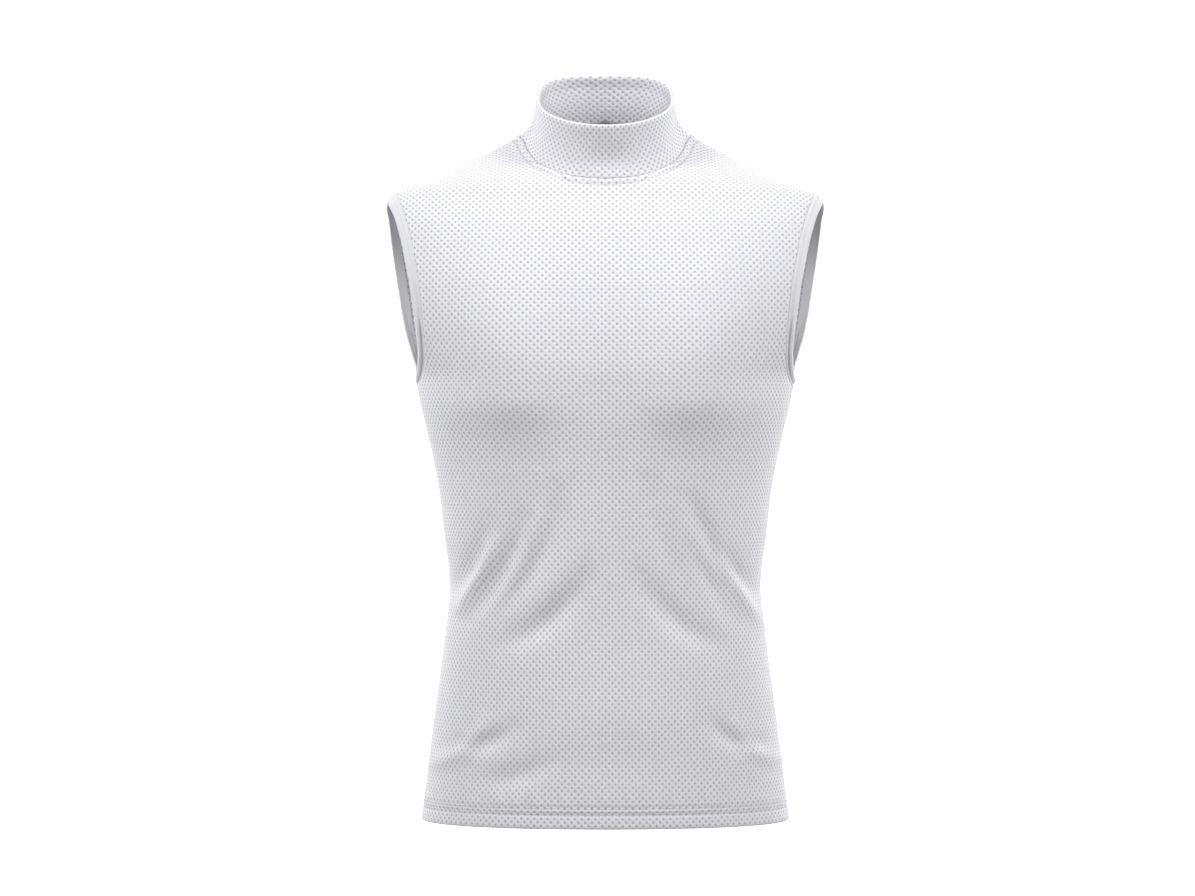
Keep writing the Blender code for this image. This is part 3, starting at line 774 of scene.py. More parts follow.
def bindingMaterial():
    # two crossing sine waves of fine ribs; the map named knit is in metres here, along and across
    look = Look("plain binding knit", Roughness=bindingLook["roughness"], Sheen_Weight=bindingLook["sheen"])
    along, across = look.split(look.node("ShaderNodeUVMap", {"uv_map": "knit"}))
    turn = 2 * math.pi / bindingLook["ribPitch"]
    noise = look.speckle(bindingLook["speckleScale"], bindingLook["speckleDetail"])
    ribs = (across * turn).wave() + (along * turn).wave() * bindingLook["alongShare"]
    look.bump(ribs * bindingLook["ribRise"] + noise * bindingLook["speckleRise"], 1.0)
    tone = look.tone(noise, bindingLook["darkest"])
    # painted shade: the band's crease and its stitch grooves darken the colour
    look.colourScaled(bindingLook["cloth"], tone * (1 - look.seamShade()))
    return look.material


threadFinish = {
    "colour": (0.93, 0.93, 0.94),
    "speckleScale": 1500.0,
    "speckleDetail": 1.0,
    "darkest": 0.90,
    "roughness": 0.6,
    "sheen": 0.1,
}


def threadMaterial():
    # white thread with a fine uneven tone
    look = Look("sewing thread", Roughness=threadFinish["roughness"], Sheen_Weight=threadFinish["sheen"])
    noise = look.speckle(threadFinish["speckleScale"], threadFinish["speckleDetail"])
    look.colourScaled(threadFinish["colour"], look.tone(noise, threadFinish["darkest"]))
    return look.material


eyeletKnit = knitMaterial()
plainBinding = bindingMaterial()
sewingThread = threadMaterial()
print("finishes made")


panelLook = {
    "edgeStep": 0.0035,
    "edgeInset": 0.0013,
    "edgeSink": 0.0005,
    "holeMargin": 0.0026,
    "innerStep": 0.0115,
    "hemStep": 0.0008,
    "sewnClear": 0.62,  # of an eyelet's height, from its middle to a row of sewing
    "sewnMargin": 0.0004,
}

# Where the outside, the inside and the rim of a panel lie in the unit square of the bake map.
bakeLayout = {
    "margin": 1.04,
    "outsideLow": 0.01,
    "outsideSize": 0.97,
    "insideLow": (0.735, 0.01),
    "insideSize": 0.34,
    "rimRight": 0.98,
    "rimWidth": 0.015,
    "rimLow": 0.40,
    "rimHeight": 0.58,
}


def flatPlace(face, away, z):
    # a point of the panel on the flat cloth, in metres
    return np.stack(toKnit(face, away, z), axis=-1) * (knit["meanPitch"], knit["rowPair"])


def sewnRows(face, centres, edgeFlat):
    # points along and beside each row of sewing, on the flat cloth, clear of the eyelets
    away = np.linspace(-math.pi / 2, math.pi / 2, 1201)
    found = []
    for beside in sewing["linesBeside"]:
        for row in sewing["neckRows"]:
            z = necklineHeight(faceAngle(face, away)) - (row + beside) * neckSlope(face, away)
            found.append(flatPlace(face, away, z))
        for row in sewing["hemRows"]:
            found.append(flatPlace(face, away, np.full_like(away, cut["hem"] + row + beside)))
    found.append(flatPlace(face, away, np.full_like(away, cut["hem"] + 0.3 * sewing["hemFold"])))
    points = []
    for line in found:
        run = lengthsAlong(line)
        even = np.linspace(0, run[-1], round(run[-1] / sewing["lineStep"]))
        points.append(np.stack([np.interp(even, run, line[:, k]) for k in (0, 1)], axis=1))
    points = np.concatenate(points)
    near = []
    for part in np.array_split(points, 8):
        near.append(np.hypot(*(part[:, None] - centres).transpose(2, 0, 1)).min(axis=1))
    points = points[np.concatenate(near) > panelLook["sewnClear"] * knit["holeHeight"]]
    return points[insideEdge(points, edgeFlat) > panelLook["sewnMargin"]]


def foldedIn(values, low, size):
    # a flat map's values moved into a box of the unit square
    return low + values * size


def joinedMap(groups):
    # a map's values for one group of faces after another
    return np.concatenate([group.reshape(-1, 2) for group in groups])


def makePanel(face, name):
    # the outside is the flat net of edge, sewing and eyelets carried onto the figure, the inside a
    # plainer net one wall behind it, and the rim joins their edges
    edge = mirroredLine(*panelEdge(face, 0.0, panelLook["edgeStep"]))
    inset = mirroredLine(*panelEdge(face, panelLook["edgeInset"], panelLook["edgeStep"]))
    edgeFlat, insetFlat = flatPlace(face, *edge), flatPlace(face, *inset)
    reach = np.abs(edgeFlat).max(axis=0) / (knit["meanPitch"], knit["rowPair"])
    centres = eyelets((-reach[0], reach[0]), (0, reach[1]))
    centres = centres[insideEdge(centres, edgeFlat) > panelLook["holeMargin"]]
    holes = holePoints(centres)
    rows = sewnRows(face, centres, edgeFlat)
    count = len(edgeFlat)

    outerFlat = np.concatenate([edgeFlat, insetFlat, rows, holes])
    triangles = trianglesInside(outerFlat, count)
    away, z = fromKnit(face, *(np.concatenate([rows, holes]) / (knit["meanPitch"], knit["rowPair"])).T)
    away, z = np.concatenate([edge[0], inset[0], away]), np.concatenate([edge[1], inset[1], z])
    lift = sewnRelief(face, away, z)
    lift[:count] -= panelLook["edgeSink"] * (edge[1] > cut["hem"] + 1e-5)
    lift[-len(centres):] -= knit["holeDepth"]
    outer = clothPoint(faceAngle(face, away), z, lift)

    # the inside is a plainer net, with a step where the turned-up hem ends
    step = panelLook["innerStep"]
    box = edgeFlat.min(axis=0), edgeFlat.max(axis=0)
    across = np.arange(box[0][0], box[1][0], step)
    upward = np.arange(0.5 * step, box[1][1], step)
    net = np.stack(np.meshgrid(across, upward), axis=-1).reshape(-1, 2)
    hemTop = cut["hemTurn"]
    net = net[np.abs(net[:, 1] - hemTop) > 0.4 * step]
    for side in (-1, 1):
        line = np.full(len(across), hemTop + side * panelLook["hemStep"])
        net = np.concatenate([net, np.stack([across, line], axis=1)])
    net = net[insideEdge(net, edgeFlat) > 0.4 * step]
    innerTriangles = trianglesInside(np.concatenate([edgeFlat, net]), count)
    innerAway, innerZ = fromKnit(face, *(net / (knit["meanPitch"], knit["rowPair"])).T)
    innerAway, innerZ = np.concatenate([edge[0], innerAway]), np.concatenate([edge[1], innerZ])
    turn = cut["hem"] + hemTop
    wall = cut["hemWall"] + (cut["panelWall"] - cut["hemWall"]) * (innerZ > turn)
    sunk = roundedDrop(innerZ - cut["hem"], sewing["hemFold"] - sewing["foldInside"]) - wall
    inner = clothPoint(faceAngle(face, innerAway), innerZ, sunk)

    number = np.arange(count)
    ahead = np.roll(number, -1)
    below = len(outer)
    rim = np.stack([number, number + below, ahead + below, ahead], axis=1)
    if volumeOf(outer, triangles) < 0:
        triangles = triangles[:, ::-1]
    if volumeOf(inner, innerTriangles) > 0:
        innerTriangles = innerTriangles[:, ::-1]
    points = np.concatenate([outer, inner])
    middle = outer[triangles].mean(axis=(0, 1))
    first = points[rim[0]]
    if np.dot(np.cross(first[1] - first[0], first[3] - first[0]), first[0] - middle) < 0:
        rim = rim[:, ::-1]

    # knit counts columns and rows; the bake map lays outside, inside and rim in their own boxes
    innerFlat = np.concatenate([edgeFlat, net])
    pitch = (knit["meanPitch"], knit["rowPair"])
    size = (box[1] - box[0]).max() * bakeLayout["margin"]
    outerPlace, innerPlace = (outerFlat - box[0]) / size, (innerFlat - box[0]) / size
    outerMap = foldedIn(outerPlace, bakeLayout["outsideLow"], bakeLayout["outsideSize"])
    innerMap = foldedIn(innerPlace, bakeLayout["insideLow"], bakeLayout["insideSize"])
    run = np.linspace(0, 1, count + 1)
    rimMap = np.zeros((count, 4, 2))
    corner = np.stack([run[:-1], run[:-1], run[1:], run[1:]], axis=1)
    depth = np.array([0.0, 1.0, 1.0, 0.0])
    if (rim[0] != np.array([0, below, 1 + below, 1])).any():
        corner, depth = corner[:, ::-1], depth[::-1]
    rimMap[..., 0] = bakeLayout["rimRight"] - bakeLayout["rimWidth"] * depth
    rimMap[..., 1] = bakeLayout["rimLow"] + bakeLayout["rimHeight"] * corner
    outerCounts, innerCounts = outerFlat / pitch, innerFlat / pitch
    bothCounts = np.concatenate([outerCounts, innerCounts])
    knitMap = (outerCounts[triangles], innerCounts[innerTriangles], bothCounts[rim])
    bakeMap = (outerMap[triangles], innerMap[innerTriangles], rimMap)
    maps = (("knit", joinedMap(knitMap)), ("OFBake", joinedMap(bakeMap)))
    shade = np.concatenate([sewnShade(face, away, z), np.zeros(len(inner))])
    piece = addPiece(name, points, (triangles, innerTriangles + below, rim), eyeletKnit, maps, shade)
    x, y = edgeFlat.T
    area = abs((x * np.roll(y, -1) - y * np.roll(x, -1)).sum()) / 2
    flat = box[1] - box[0]
    print(name, len(centres), "eyelets,", len(triangles) + len(innerTriangles), "triangles, flat",
          [round(float(v), 3) for v in flat], "area", round(float(area), 4))
    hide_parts(face + "_panel")
    return piece, (float(flat[0]), float(flat[1])), float(area)


frontCloth, frontFlat, frontArea = makePanel("front", "front_cloth")
backCloth, backFlat, backArea = makePanel("back", "back_cloth")
print("panels made")


# The mock neck: one strip folded double, from its sewn foot over the top fold and down inside.
collarCut = {
    "wall": 0.0030,
    "foldWall": 0.0046,  # the fold stays soft and full
    "foldShare": 0.74,  # how far up the strip that fullness starts
    "topWidth": 0.1330,
    "topFrontY": -0.081,
    "topBackY": 0.050,
    "topFrontZ": 0.004,
    "topBackZ": 0.0625,
    "topFrontPower": 2.0,
    "topBackPower": 3.0,
    "flareSide": 0.0115,
    "flareFront": 0.0055,
    "flarePower": 3.4,
    "rowPower": 1.25,
    "seamShare": 0.45,  # how far up the strip the wall still leans as the panels do
    "rows": 24,
    "foldSteps": 7,
    "stations": 360,
    "columns": 68,  # eyelets once round
    "plainAtFold": 0.0030,
    "plainAtSeam": 0.0022,
    "edgeStep": 0.0035,
    "bakeMargin": 1.03,
    "bakeLow": (0.01, 0.30),
    "bakeSize": 0.97,
}

# The soft hollows and one swell of the standing collar, in degrees round it and shares up it.
dentColumns = ("middle", "height", "halfWidth", "reach", "depth")
collarDents = (
    (-22, 0.72, 15, 0.28, -0.0010),
    (26, 0.66, 13, 0.30, -0.0007),
    (3, 0.38, 17, 0.24, -0.0013),
    (-58, 0.50, 16, 0.40, 0.0006),
)


def collarNet():
    # the strip's points, one row after another: straight lines from the foot to the oval of the
    # top, swung outwards near the foot, then a half circle over the fold, then the inner wall
    fine = np.linspace(-math.pi, math.pi, 1441)
    run = lengthsAlong(bodyPoint(fine, necklineHeight(fine)))
    angle = np.interp(np.linspace(0, run[-1], collarCut["stations"] + 1), run, fine)
    neckZ = necklineHeight(angle) + cut["seamGap"] / 2
    base, neckNormal = bodyPoint(angle, neckZ), bodyNormal(angle, neckZ)
    sine, cosine = np.sin(angle), np.cos(angle)
    power = np.where(cosine > 0, collarCut["topFrontPower"], collarCut["topBackPower"])
    ring = (np.abs(sine) ** power + np.abs(cosine) ** power) ** (-1 / power)
    halfDepth = (collarCut["topBackY"] - collarCut["topFrontY"]) / 2
    topY = (collarCut["topFrontY"] + collarCut["topBackY"]) / 2 - halfDepth * ring * cosine
    slope = (collarCut["topBackZ"] - collarCut["topFrontZ"]) / (2 * halfDepth)
    topZ = collarCut["topFrontZ"] + (topY - collarCut["topFrontY"]) * slope - collarCut["foldWall"] / 2
    top = np.stack([collarCut["topWidth"] / 2 * ring * sine, topY, topZ], axis=1)
    outward = np.stack([sine, -cosine, 0 * sine], axis=1)
    flare = collarCut["flareFront"] + (collarCut["flareSide"] - collarCut["flareFront"]) * sine**2
    foot = base - outward * flare[:, None]
    v = np.linspace(0, 1, collarCut["rows"] + 1)[:, None] ** collarCut["rowPower"]
    spare = flare * (1 - v) ** collarCut["flarePower"]
    outer = foot * (1 - v[..., None]) + top * v[..., None] + outward * spare[..., None]
    outer += collarRelief(angle, v)[..., None] * outward

    around = np.empty_like(outer)
    around[:, 1:-1] = outer[:, 2:] - outer[:, :-2]
    around[:, 0] = around[:, -1] = outer[:, 1] - outer[:, -2]
    upward = unit(np.gradient(outer, axis=0))
    normal = unit(np.cross(around, upward))
    share = np.clip(1 - v / collarCut["seamShare"], 0, 1)[..., None]
    normal = unit(normal * (1 - share) + neckNormal * share)
    fuller = smoothStep(v, collarCut["foldShare"], 1)
    wall = collarCut["wall"] + (collarCut["foldWall"] - collarCut["wall"]) * fuller
    inner = outer - normal * wall[..., None]
    turns = np.linspace(0, math.pi, collarCut["foldSteps"] + 2)[1:-1, None, None]
    half = collarCut["foldWall"] / 2
    fold = (outer[-1] + inner[-1]) / 2 + half * (normal[-1] * np.cos(turns) + upward[-1] * np.sin(turns))
    insideOut = np.broadcast_to(normal[-1], fold.shape) * np.cos(turns) + upward[-1] * np.sin(turns)
    points = np.concatenate([outer, fold, inner[::-1]])
    normals = np.concatenate([normal, insideOut, -normal[::-1]])
    return points, unit(normals)


def collarRelief(angle, v):
    # a bell for each dent, fading out at the seam and at the fold
    degrees = np.degrees(angle)
    relief = 0
    for row in collarDents:
        dent = dict(zip(dentColumns, row))
        aside = ((degrees - dent["middle"]) / dent["halfWidth"]) ** 2
        relief = relief + dent["depth"] * np.exp(-aside - ((v - dent["height"]) / dent["reach"]) ** 2)
    return relief * smoothStep(v, 0, 0.25) * smoothStep(1 - v, 0, 0.2)


def makeCollar():
    # the flat strip with its eyelets, carried onto the collar's rows and closed at the centre back
    net, normals = collarNet()
    stepUp = np.linalg.norm(np.diff(net, axis=0), axis=-1).mean(axis=1)
    up = np.append(0.0, np.cumsum(stepUp))
    width, height = collarCut["columns"] * knit["meanPitch"], up[-1]
    foldTop = up[collarCut["rows"] + 1 + collarCut["foldSteps"] // 2]
    rowPair = foldTop / round(foldTop / knit["rowPair"])
    pitch = (knit["meanPitch"], rowPair)
    xs = np.linspace(0, width, round(width / collarCut["edgeStep"]) + 1)
    ys = np.linspace(0, height, round(height / collarCut["edgeStep"]) + 1)
    bottom, top = np.stack([xs, 0 * xs], axis=1), np.stack([xs[::-1], height + 0 * xs], axis=1)
    right, left = np.stack([width + 0 * ys, ys], axis=1), np.stack([0 * ys, ys[::-1]], axis=1)
    edge = np.concatenate([bottom[:-1], right[:-1], top[:-1], left[:-1]])
    centres = eyelets((0, collarCut["columns"]), (0, height / pitch[1]))
    centres = centres / (knit["meanPitch"], knit["rowPair"]) * pitch
    fromSeam = np.minimum(centres[:, 1], height - centres[:, 1])
    fromEnds = np.minimum(centres[:, 0], width - centres[:, 0])
    fromFold = np.abs(centres[:, 1] - foldTop)
    plain = collarCut["plainAtSeam"]
    keep = (fromSeam > plain) & (fromEnds > plain) & (fromFold > collarCut["plainAtFold"])
    centres = centres[keep]
    holes = holePoints(centres)
    # extra points along the fold keep it round
    foldRows = up[collarCut["rows"] + 1: collarCut["rows"] + collarCut["foldSteps"]: 2]
    foldNet = np.stack(np.meshgrid(xs[1:-1], foldRows), axis=-1).reshape(-1, 2)
    clear = np.abs(foldNet[:, 1] - foldTop) < collarCut["plainAtFold"]
    foldNet = foldNet[clear]
    flat = np.concatenate([edge, foldNet, holes])
    triangles = trianglesInside(flat, len(edge))
    row = np.interp(flat[:, 1], up, np.arange(len(up)))
    column = flat[:, 0] / width * collarCut["stations"]
    lift = np.zeros(len(flat))
    lift[-len(centres):] = -knit["holeDepth"]
    points = sampled(net, row, column) + unit(sampled(normals, row, column)) * lift[:, None]

    # the strip's two ends meet at the centre back
    nx, ny = len(xs) - 1, len(ys) - 1
    number = np.arange(len(flat))
    rightEnd = nx + np.arange(ny + 1)
    leftEnd = np.append(0, len(edge) - 1 - np.arange(ny))[: ny + 1]
    number[rightEnd] = leftEnd
    foot = number[np.arange(nx + 1)]
    head = number[nx + ny + np.arange(nx + 1)][::-1]
    head[0], head[-1] = number[leftEnd[-1]], number[leftEnd[-1]]
    rim = np.stack([foot[:-1], foot[1:], head[1:], head[:-1]], axis=1)
    joined = number[triangles]
    if volumeOf(points, joined) < 0:
        triangles, joined = triangles[:, ::-1], joined[:, ::-1]
    else:
        rim = rim[:, ::-1]
    counts = flat / pitch
    # the whole strip lies across the unit square, with its rim in a narrow line below it
    place = flat / (width * collarCut["bakeMargin"])
    bakeMap = (foldedIn(place[triangles], collarCut["bakeLow"], collarCut["bakeSize"]), rimBoxes(len(rim)))
    maps = (("knit", joinedMap((counts[triangles], counts[rim]))), ("OFBake", joinedMap(bakeMap)))
    piece = addPiece("collar_cloth", points, (joined, rim), eyeletKnit, maps)
    print("collar_cloth", len(centres), "eyelets,", len(triangles), "triangles, strip",
          round(float(width), 3), round(float(height), 3))
    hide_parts("collar")
    return piece, (float(lengthsAlong(net[collarCut["rows"] // 2])[-1]), float(height / 2))


def rimBoxes(count):
    # a narrow strip low in the unit square, cut into one box for each face of a rim
    run = np.linspace(0.01, 0.98, count + 1)
    corner = np.stack([run[:-1], run[1:], run[1:], run[:-1]], axis=1)
    depth = np.tile([0.05, 0.05, 0.07, 0.07], (count, 1))
    return np.stack([corner, depth], axis=-1).reshape(-1, 2)


collarCloth, collarFlat = makeCollar()
print("collar made")


bandLook = {
    "wall": 0.0022,
    "crown": 0.0008,
    "rows": 34,
    "foldRadius": 0.0011,
    "seamRadius": 0.0005,
    "stitchLines": (0.0072, 0.0093),
    "stitchHalfWidth": 0.0006,
    "stitchSink": 0.0005,
    "creaseLine": 0.0075,  # under the arm the band folds against itself along this line
    "creaseHalfWidth": 0.0007,
    "creaseSink": 0.0024,
    "creaseTop": -0.172,
    "creaseDeepest": -0.192,
    "ridgeLine": 0.0042,
    "ridgeHalfWidth": 0.0009,
    "ridgeRise": 0.0007,
    "creaseShade": 0.55,
    "stitchShade": 0.10,
    "bakeLengths": 6,  # the long band lies in the unit square in this many lengths, one above another
}


def bandEdgeDrop(fromEdge):
    # the quarter-round fold at the armhole and the smaller one at the seam
    atSeam = roundedDrop(cut["bandWidth"] - fromEdge, bandLook["seamRadius"])
    return roundedDrop(fromEdge, bandLook["foldRadius"]) + atSeam


def bandRelief(fromEdge, z):
    # height of the band's outer face over the cloth's surface, at each station of one line round it
    width = cut["bandWidth"]
    share = fromEdge / width
    relief = bandLook["crown"] * (1 - (2 * share - 1) ** 2)
    relief -= bandEdgeDrop(fromEdge)
    for line in bandLook["stitchLines"]:
        relief -= bandLook["stitchSink"] * bell(fromEdge - line, bandLook["stitchHalfWidth"])
    low = smoothStep(-z, -bandLook["creaseTop"], -bandLook["creaseDeepest"])
    crease = bandLook["creaseSink"] * bell(fromEdge - bandLook["creaseLine"], bandLook["creaseHalfWidth"])
    ridge = bandLook["ridgeRise"] * bell(fromEdge - bandLook["ridgeLine"], bandLook["ridgeHalfWidth"])
    return relief + low * (ridge - crease)


def bandShade(fromEdge, z):
    # painted shade: 1 in the crease under the arm, less along the two rows of stitches
    low = smoothStep(-z, -bandLook["creaseTop"], -bandLook["creaseDeepest"])
    crease = bell(fromEdge - bandLook["creaseLine"], bandLook["creaseHalfWidth"])
    shade = low * crease * bandLook["creaseShade"]
    for line in bandLook["stitchLines"]:
        shade = shade + bandLook["stitchShade"] * bell(fromEdge - line, bandLook["stitchHalfWidth"])
    return np.clip(shade, 0, 1)


def bandNet():
    # lines round the armhole, one after another from its folded edge to the seam
    width = cut["bandWidth"]
    across = (1 - np.cos(np.linspace(0, math.pi, bandLook["rows"] + 1))) / 2
    across = width * (0.5 * across + 0.5 * np.linspace(0, 1, len(across)))
    outer, inner, shades = [], [], []
    for fromEdge in across:
        angle, z = armholeLine(fromEdge)
        outer.append(clothPoint(angle, z, bandRelief(fromEdge, z)))
        shades.append(bandShade(fromEdge, z))
        crown = bandLook["crown"] * (1 - (2 * fromEdge / width - 1) ** 2)
        lift = crown - bandLook["wall"] + bandEdgeDrop(fromEdge)
        inner.append(clothPoint(angle, z, np.full_like(z, lift)))
    return np.array(outer), np.array(inner), np.array(shades)


def quadCorners(row, column, above, right):
    # the four corners of each face of a net, once round
    return np.stack([row + column, row + right, above + right, above + column], axis=-1)


def makeBands():
    # the lines of the outside and the inside closed into a tube, and its mirror image
    outer, inner, shades = bandNet()
    net = np.concatenate([outer, inner[::-1]])
    shade = np.concatenate([shades, np.zeros(inner.shape[:2])]).ravel()
    rows, columns = net.shape[:2]
    row, column = np.meshgrid(np.arange(rows), np.arange(columns), indexing="ij")
    above, right = (row + 1) % rows, (column + 1) % columns
    quads = quadCorners(row * columns, column, above * columns, right).reshape(-1, 4)
    run = lengthsAlong(np.concatenate([outer[-1], outer[-1][:1]]))
    profile = np.append(0.0, np.cumsum(np.linalg.norm(np.diff(net, axis=0), axis=-1).mean(axis=1)))
    profile = np.append(profile, profile[-1] + bandLook["wall"])
    alongs = run[np.stack([column, column + 1, column + 1, column], axis=-1)]
    rises = profile[np.stack([row, row, row + 1, row + 1], axis=-1)]
    places = np.stack([alongs, rises], axis=-1).reshape(-1, 2)
    lengths = bandLook["bakeLengths"]
    made = []
    for side, sign in (("left", 1.0), ("right", -1.0)):
        points = net.reshape(-1, 3) * (sign, 1.0, 1.0)
        faces, turned = quads, places
        if volumeOf(points, faces[:, :3]) + volumeOf(points, faces[:, [0, 2, 3]]) < 0:
            faces, turned = quads[:, ::-1], places.reshape(-1, 4, 2)[:, ::-1].reshape(-1, 2)
        piece = turned.reshape(-1, 4, 2)
        share = piece[..., 0] / run[-1] * lengths
        strip = np.minimum(np.floor(share.mean(axis=1, keepdims=True)), lengths - 1)
        across = 0.02 + 0.96 * (share - strip)
        upward = 0.01 + (strip + piece[..., 1] / profile[-1] * 0.9) / lengths * 0.98
        # the last face of each length reaches past it, and is held inside the square
        bake = np.stack([np.clip(across, 0.002, 0.998), upward], axis=-1)
        maps = (("knit", turned), ("OFBake", bake.reshape(-1, 2)))
        band = addPiece("band_cloth_" + side, points, (faces,), plainBinding, maps, shade)
        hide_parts("armhole_band_" + side)
        made.append(band)
    return made, (float(run[-1]), float(profile[-1] / 2))


(bandLeft, bandRight), bandFlat = makeBands()
print("armhole bands made")

# Thread: pitch is one stitch and the gap after it; both ends of a stitch dip into the cloth.
threadLook = {
    "neck": {"pitch": 0.0035, "length": 0.0029, "radius": 0.00050},
    "hem": {"pitch": 0.0064, "length": 0.0048, "radius": 0.00052},
    "armhole": {"pitch": 0.0023, "length": 0.0017, "radius": 0.00030},
    "rings": 5,
    "sides": 6,
    "dip": 0.0005,
    "reach": 0.96,  # where the last ring stands, of half a stitch
    "liftShare": 0.9,  # of the radius that shows above the cloth
}


def stitchRow(line, normals, pitch, length, radius):
    # rounded rods laid one after another along a line: the radius follows sqrt(1 - t^2) from end to
    # end and the middle line sinks by t^4
    run = lengthsAlong(line)
    count = round(run[-1] / pitch)
    t = np.linspace(-threadLook["reach"], threadLook["reach"], threadLook["rings"])
    at = (np.arange(count)[:, None] + 0.5) * run[-1] / count + t * length / 2
    place = np.stack([np.interp(at, run, line[:, k]) for k in range(3)], axis=-1)
    out = unit(np.stack([np.interp(at, run, normals[:, k]) for k in range(3)], axis=-1))
    place = place + out * (threadLook["liftShare"] * radius - threadLook["dip"] * t**4)[:, None]
    forward = unit(np.gradient(place, axis=1))
    side = unit(np.cross(forward, out))
    turn = (2 * math.pi * np.arange(threadLook["sides"]) / threadLook["sides"])[:, None]
    girth = (radius * np.sqrt(1 - t**2))[:, None, None]
    spokes = side[:, :, None] * np.cos(turn) + np.cross(side, forward)[:, :, None] * np.sin(turn)
    return place[:, :, None] + spokes * girth


def rodFaces(count):
    # the faces of one rod: quads between its rings and a flat end at each side, repeated for every rod
    rings, sides = threadLook["rings"], threadLook["sides"]
    ring, side = np.meshgrid(np.arange(rings - 1), np.arange(sides), indexing="ij")
    ahead = (side + 1) % sides
    quads = quadCorners(ring * sides, side, (ring + 1) * sides, ahead)
    ends = np.stack([np.arange(sides)[::-1], np.arange(sides) + (rings - 1) * sides])
    start = (np.arange(count) * rings * sides)[:, None, None]
    return (quads.reshape(-1, 4) + start).reshape(-1, 4), (ends + start).reshape(-1, sides)


def addStitches(name, rows):
    # the rods of every row as one piece
    rods = np.concatenate(rows)
    piece = addPiece(name, rods, rodFaces(len(rods)), sewingThread)
    print(name, len(rods), "stitches")
    return piece


def sewnLine(angle, z, lift):
    # a line's points over the cloth and the way out of it
    return clothPoint(angle, z, lift), bodyNormal(angle, z)


def makeStitches():
    # a row of stitches along each line of sewing: neck, hem, and both lines of each armhole band
    around = np.linspace(-math.pi, math.pi, 1601)
    face = np.where(np.cos(around) > 0, 1.0, -1.0)
    away = np.where(face > 0, np.abs(around), math.pi - np.abs(around))
    slope = np.where(face > 0, neckSlope("front", away), neckSlope("back", away))
    neckRows = []
    for row in sewing["neckRows"]:
        line = sewnLine(around, necklineHeight(around) - row * slope, -sewing["grooveDepth"])
        neckRows.append(stitchRow(*line, **threadLook["neck"]))
    hemRows = []
    for row in sewing["hemRows"]:
        line = sewnLine(around, np.full_like(around, cut["hem"] + row), -sewing["grooveDepth"])
        hemRows.append(stitchRow(*line, **threadLook["hem"]))
    neck, hem = addStitches("neck_stitches", neckRows), addStitches("hem_stitches", hemRows)
    armRows = []
    for fromEdge in bandLook["stitchLines"]:
        angle, z = armholeLine(fromEdge)
        angle, z = np.append(angle, angle[0]), np.append(z, z[0])
        line = sewnLine(angle, z, bandRelief(fromEdge, z))
        armRows.append(stitchRow(*line, **threadLook["armhole"]))
    left = addStitches("armhole_stitches_left", armRows)
    right = addStitches("armhole_stitches_right", [(row * (-1, 1, 1))[:, :, ::-1] for row in armRows])
    return neck, hem, left, right


neckStitches, hemStitches, leftStitches, rightStitches = makeStitches()
print("stitches made")


studio = {
    "floor": -1.30,
    "floorFront": -9.0,
    "floorHalfWidth": 12.0,
    "curveStart": 3.0,
    "curveRadius": 2.0,
    "wallTop": 9.0,
    "floorColour": (0.65, 0.65, 0.65, 1.0),
    "floorRoughness": 0.9,
    "glowFrom": 0.9,
    "glowTo": 2.6,
    "glow": 1.1,
    "fill": (0.95, 0.97, 1.0, 1.0),
    "fillStrength": 0.06,
    "cameraPlace": (-0.0075, -4.0, -0.300),
    "lens": 125.5,
    "sensor": 36.0,
    "lampColumns": ("name", "place", "aim", "width", "height", "power"),
    "lamps": (
        ("left rim", (-1.45, 1.9, 0.1), (0, 0, -0.35), 0.9, 2.0, 26.0),
        ("right rim", (1.45, 1.9, 0.1), (0, 0, -0.35), 0.9, 2.0, 26.0),
        ("front key", (0.0, -2.1, 1.55), (0, 0, -0.25), 1.2, 0.9, 24.0),
        ("left key", (-1.9, -1.1, 1.70), (0, 0, -0.25), 0.9, 0.9, 54.0),
        ("right key", (1.9, -1.1, 1.70), (0, 0, -0.25), 0.9, 0.9, 54.0),
    ),
}


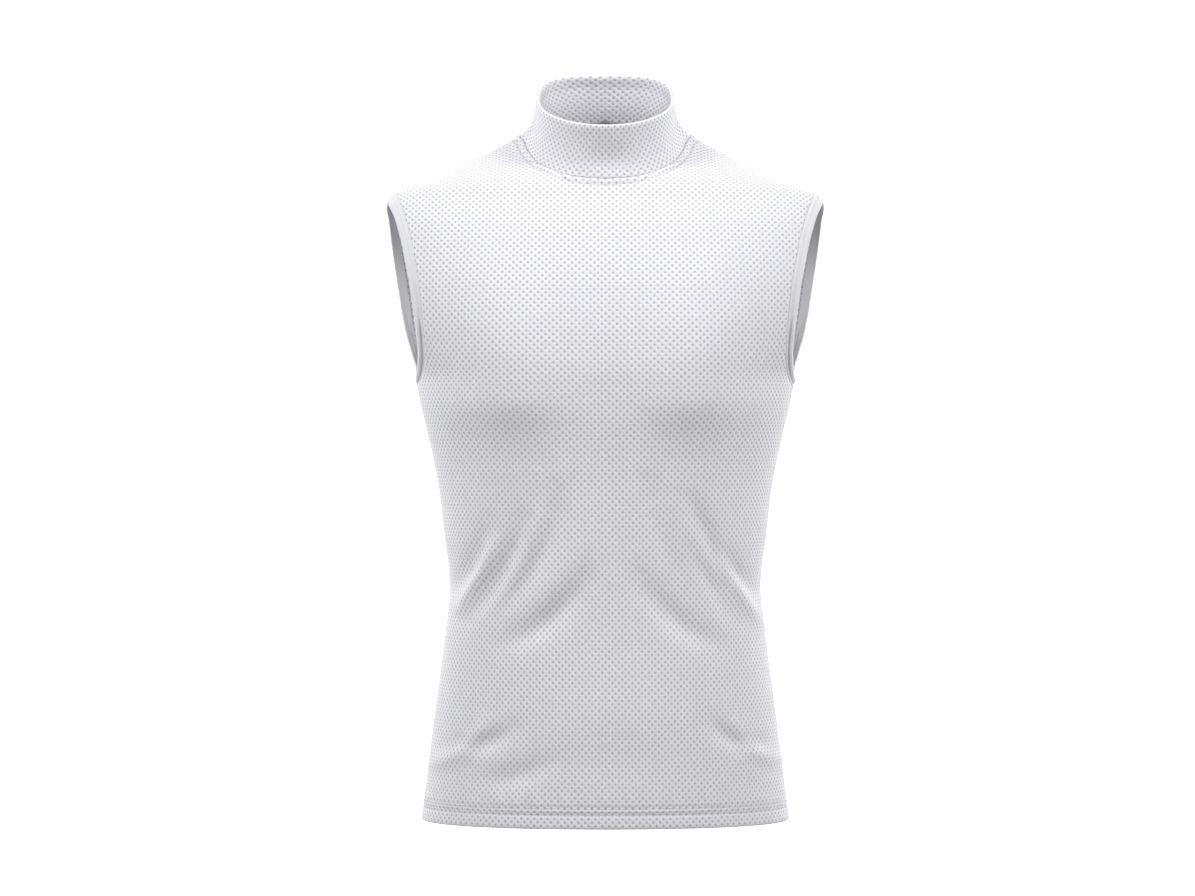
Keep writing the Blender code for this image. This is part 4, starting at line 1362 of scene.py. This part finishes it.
def makeFloor():
    # a pale floor that curves up far behind the shirt along a quarter circle; its painted light glows
    # more and more towards the back
    start, radius = studio["curveStart"], studio["curveRadius"]
    turn = np.linspace(0, math.pi / 2, 13)[1:]
    y = np.concatenate([[studio["floorFront"], start], start + radius * np.sin(turn), [start + radius]])
    z = np.concatenate([[0.0, 0.0], radius - radius * np.cos(turn), [studio["wallTop"]]]) + studio["floor"]
    x = np.array([-studio["floorHalfWidth"], studio["floorHalfWidth"]])
    points = np.stack([np.tile(x, len(y)), np.repeat(y, 2), np.repeat(z, 2)], axis=1)
    first = 2 * np.arange(len(y) - 1)
    faces = np.stack([first, first + 1, first + 3, first + 2], axis=1)
    mesh = bpy.data.meshes.new("floor")
    mesh.from_pydata(points.tolist(), [], faces.tolist())
    mesh.polygons.foreach_set("use_smooth", np.ones(len(faces), bool))
    floor = bpy.data.objects.new("floor", mesh)
    bpy.context.scene.collection.objects.link(floor)
    roughness = studio["floorRoughness"]
    look = Look("floor", Base_Color=studio["floorColour"], Roughness=roughness, Emission_Strength=1.0)
    back = look.split(look.node("ShaderNodeTexCoord", None, None, 3))[1]
    # painted light: the floor's own glow, rising towards the back
    glow = back.between(studio["glowFrom"], studio["glowTo"]) * studio["glow"]
    black, white = (0.0, 0.0, 0.0, 1.0), (1.0, 1.0, 1.0, 1.0)
    look.feed(look.shader.inputs["Emission Color"], look.mixed(glow, black, white))
    mesh.materials.append(look.material)


def makeLights():
    # a faint even fill and the soft boxes of the table above
    world = bpy.data.worlds.new("studio")
    bpy.context.scene.world = world
    world.use_nodes = True
    light = world.node_tree.nodes["Background"].inputs
    light["Color"].default_value = studio["fill"]
    light["Strength"].default_value = studio["fillStrength"]
    for row in studio["lamps"]:
        sizes = dict(zip(studio["lampColumns"], row))
        lamp = bpy.data.lights.new(sizes["name"], "AREA")
        lamp.shape = "RECTANGLE"
        lamp.size = sizes["width"]
        lamp.size_y = sizes["height"]
        lamp.energy = sizes["power"]
        made = bpy.data.objects.new(sizes["name"], lamp)
        made.location = sizes["place"]
        aim = Vector(sizes["aim"]) - Vector(sizes["place"])
        made.rotation_euler = aim.to_track_quat("-Z", "Y").to_euler()
        bpy.context.scene.collection.objects.link(made)


def makeCamera():
    # straight in front of the shirt, level, at the photograph's distance
    camera = bpy.data.cameras.new("camera")
    camera.lens = studio["lens"]
    camera.sensor_width = studio["sensor"]
    view = bpy.data.objects.new("camera", camera)
    view.location = studio["cameraPlace"]
    view.rotation_euler = (math.pi / 2, 0, 0)
    bpy.context.scene.collection.objects.link(view)
    bpy.context.scene.camera = view
    bpy.context.scene.view_settings.view_transform = "Standard"


makeFloor()
makeLights()
makeCamera()
print("studio made")
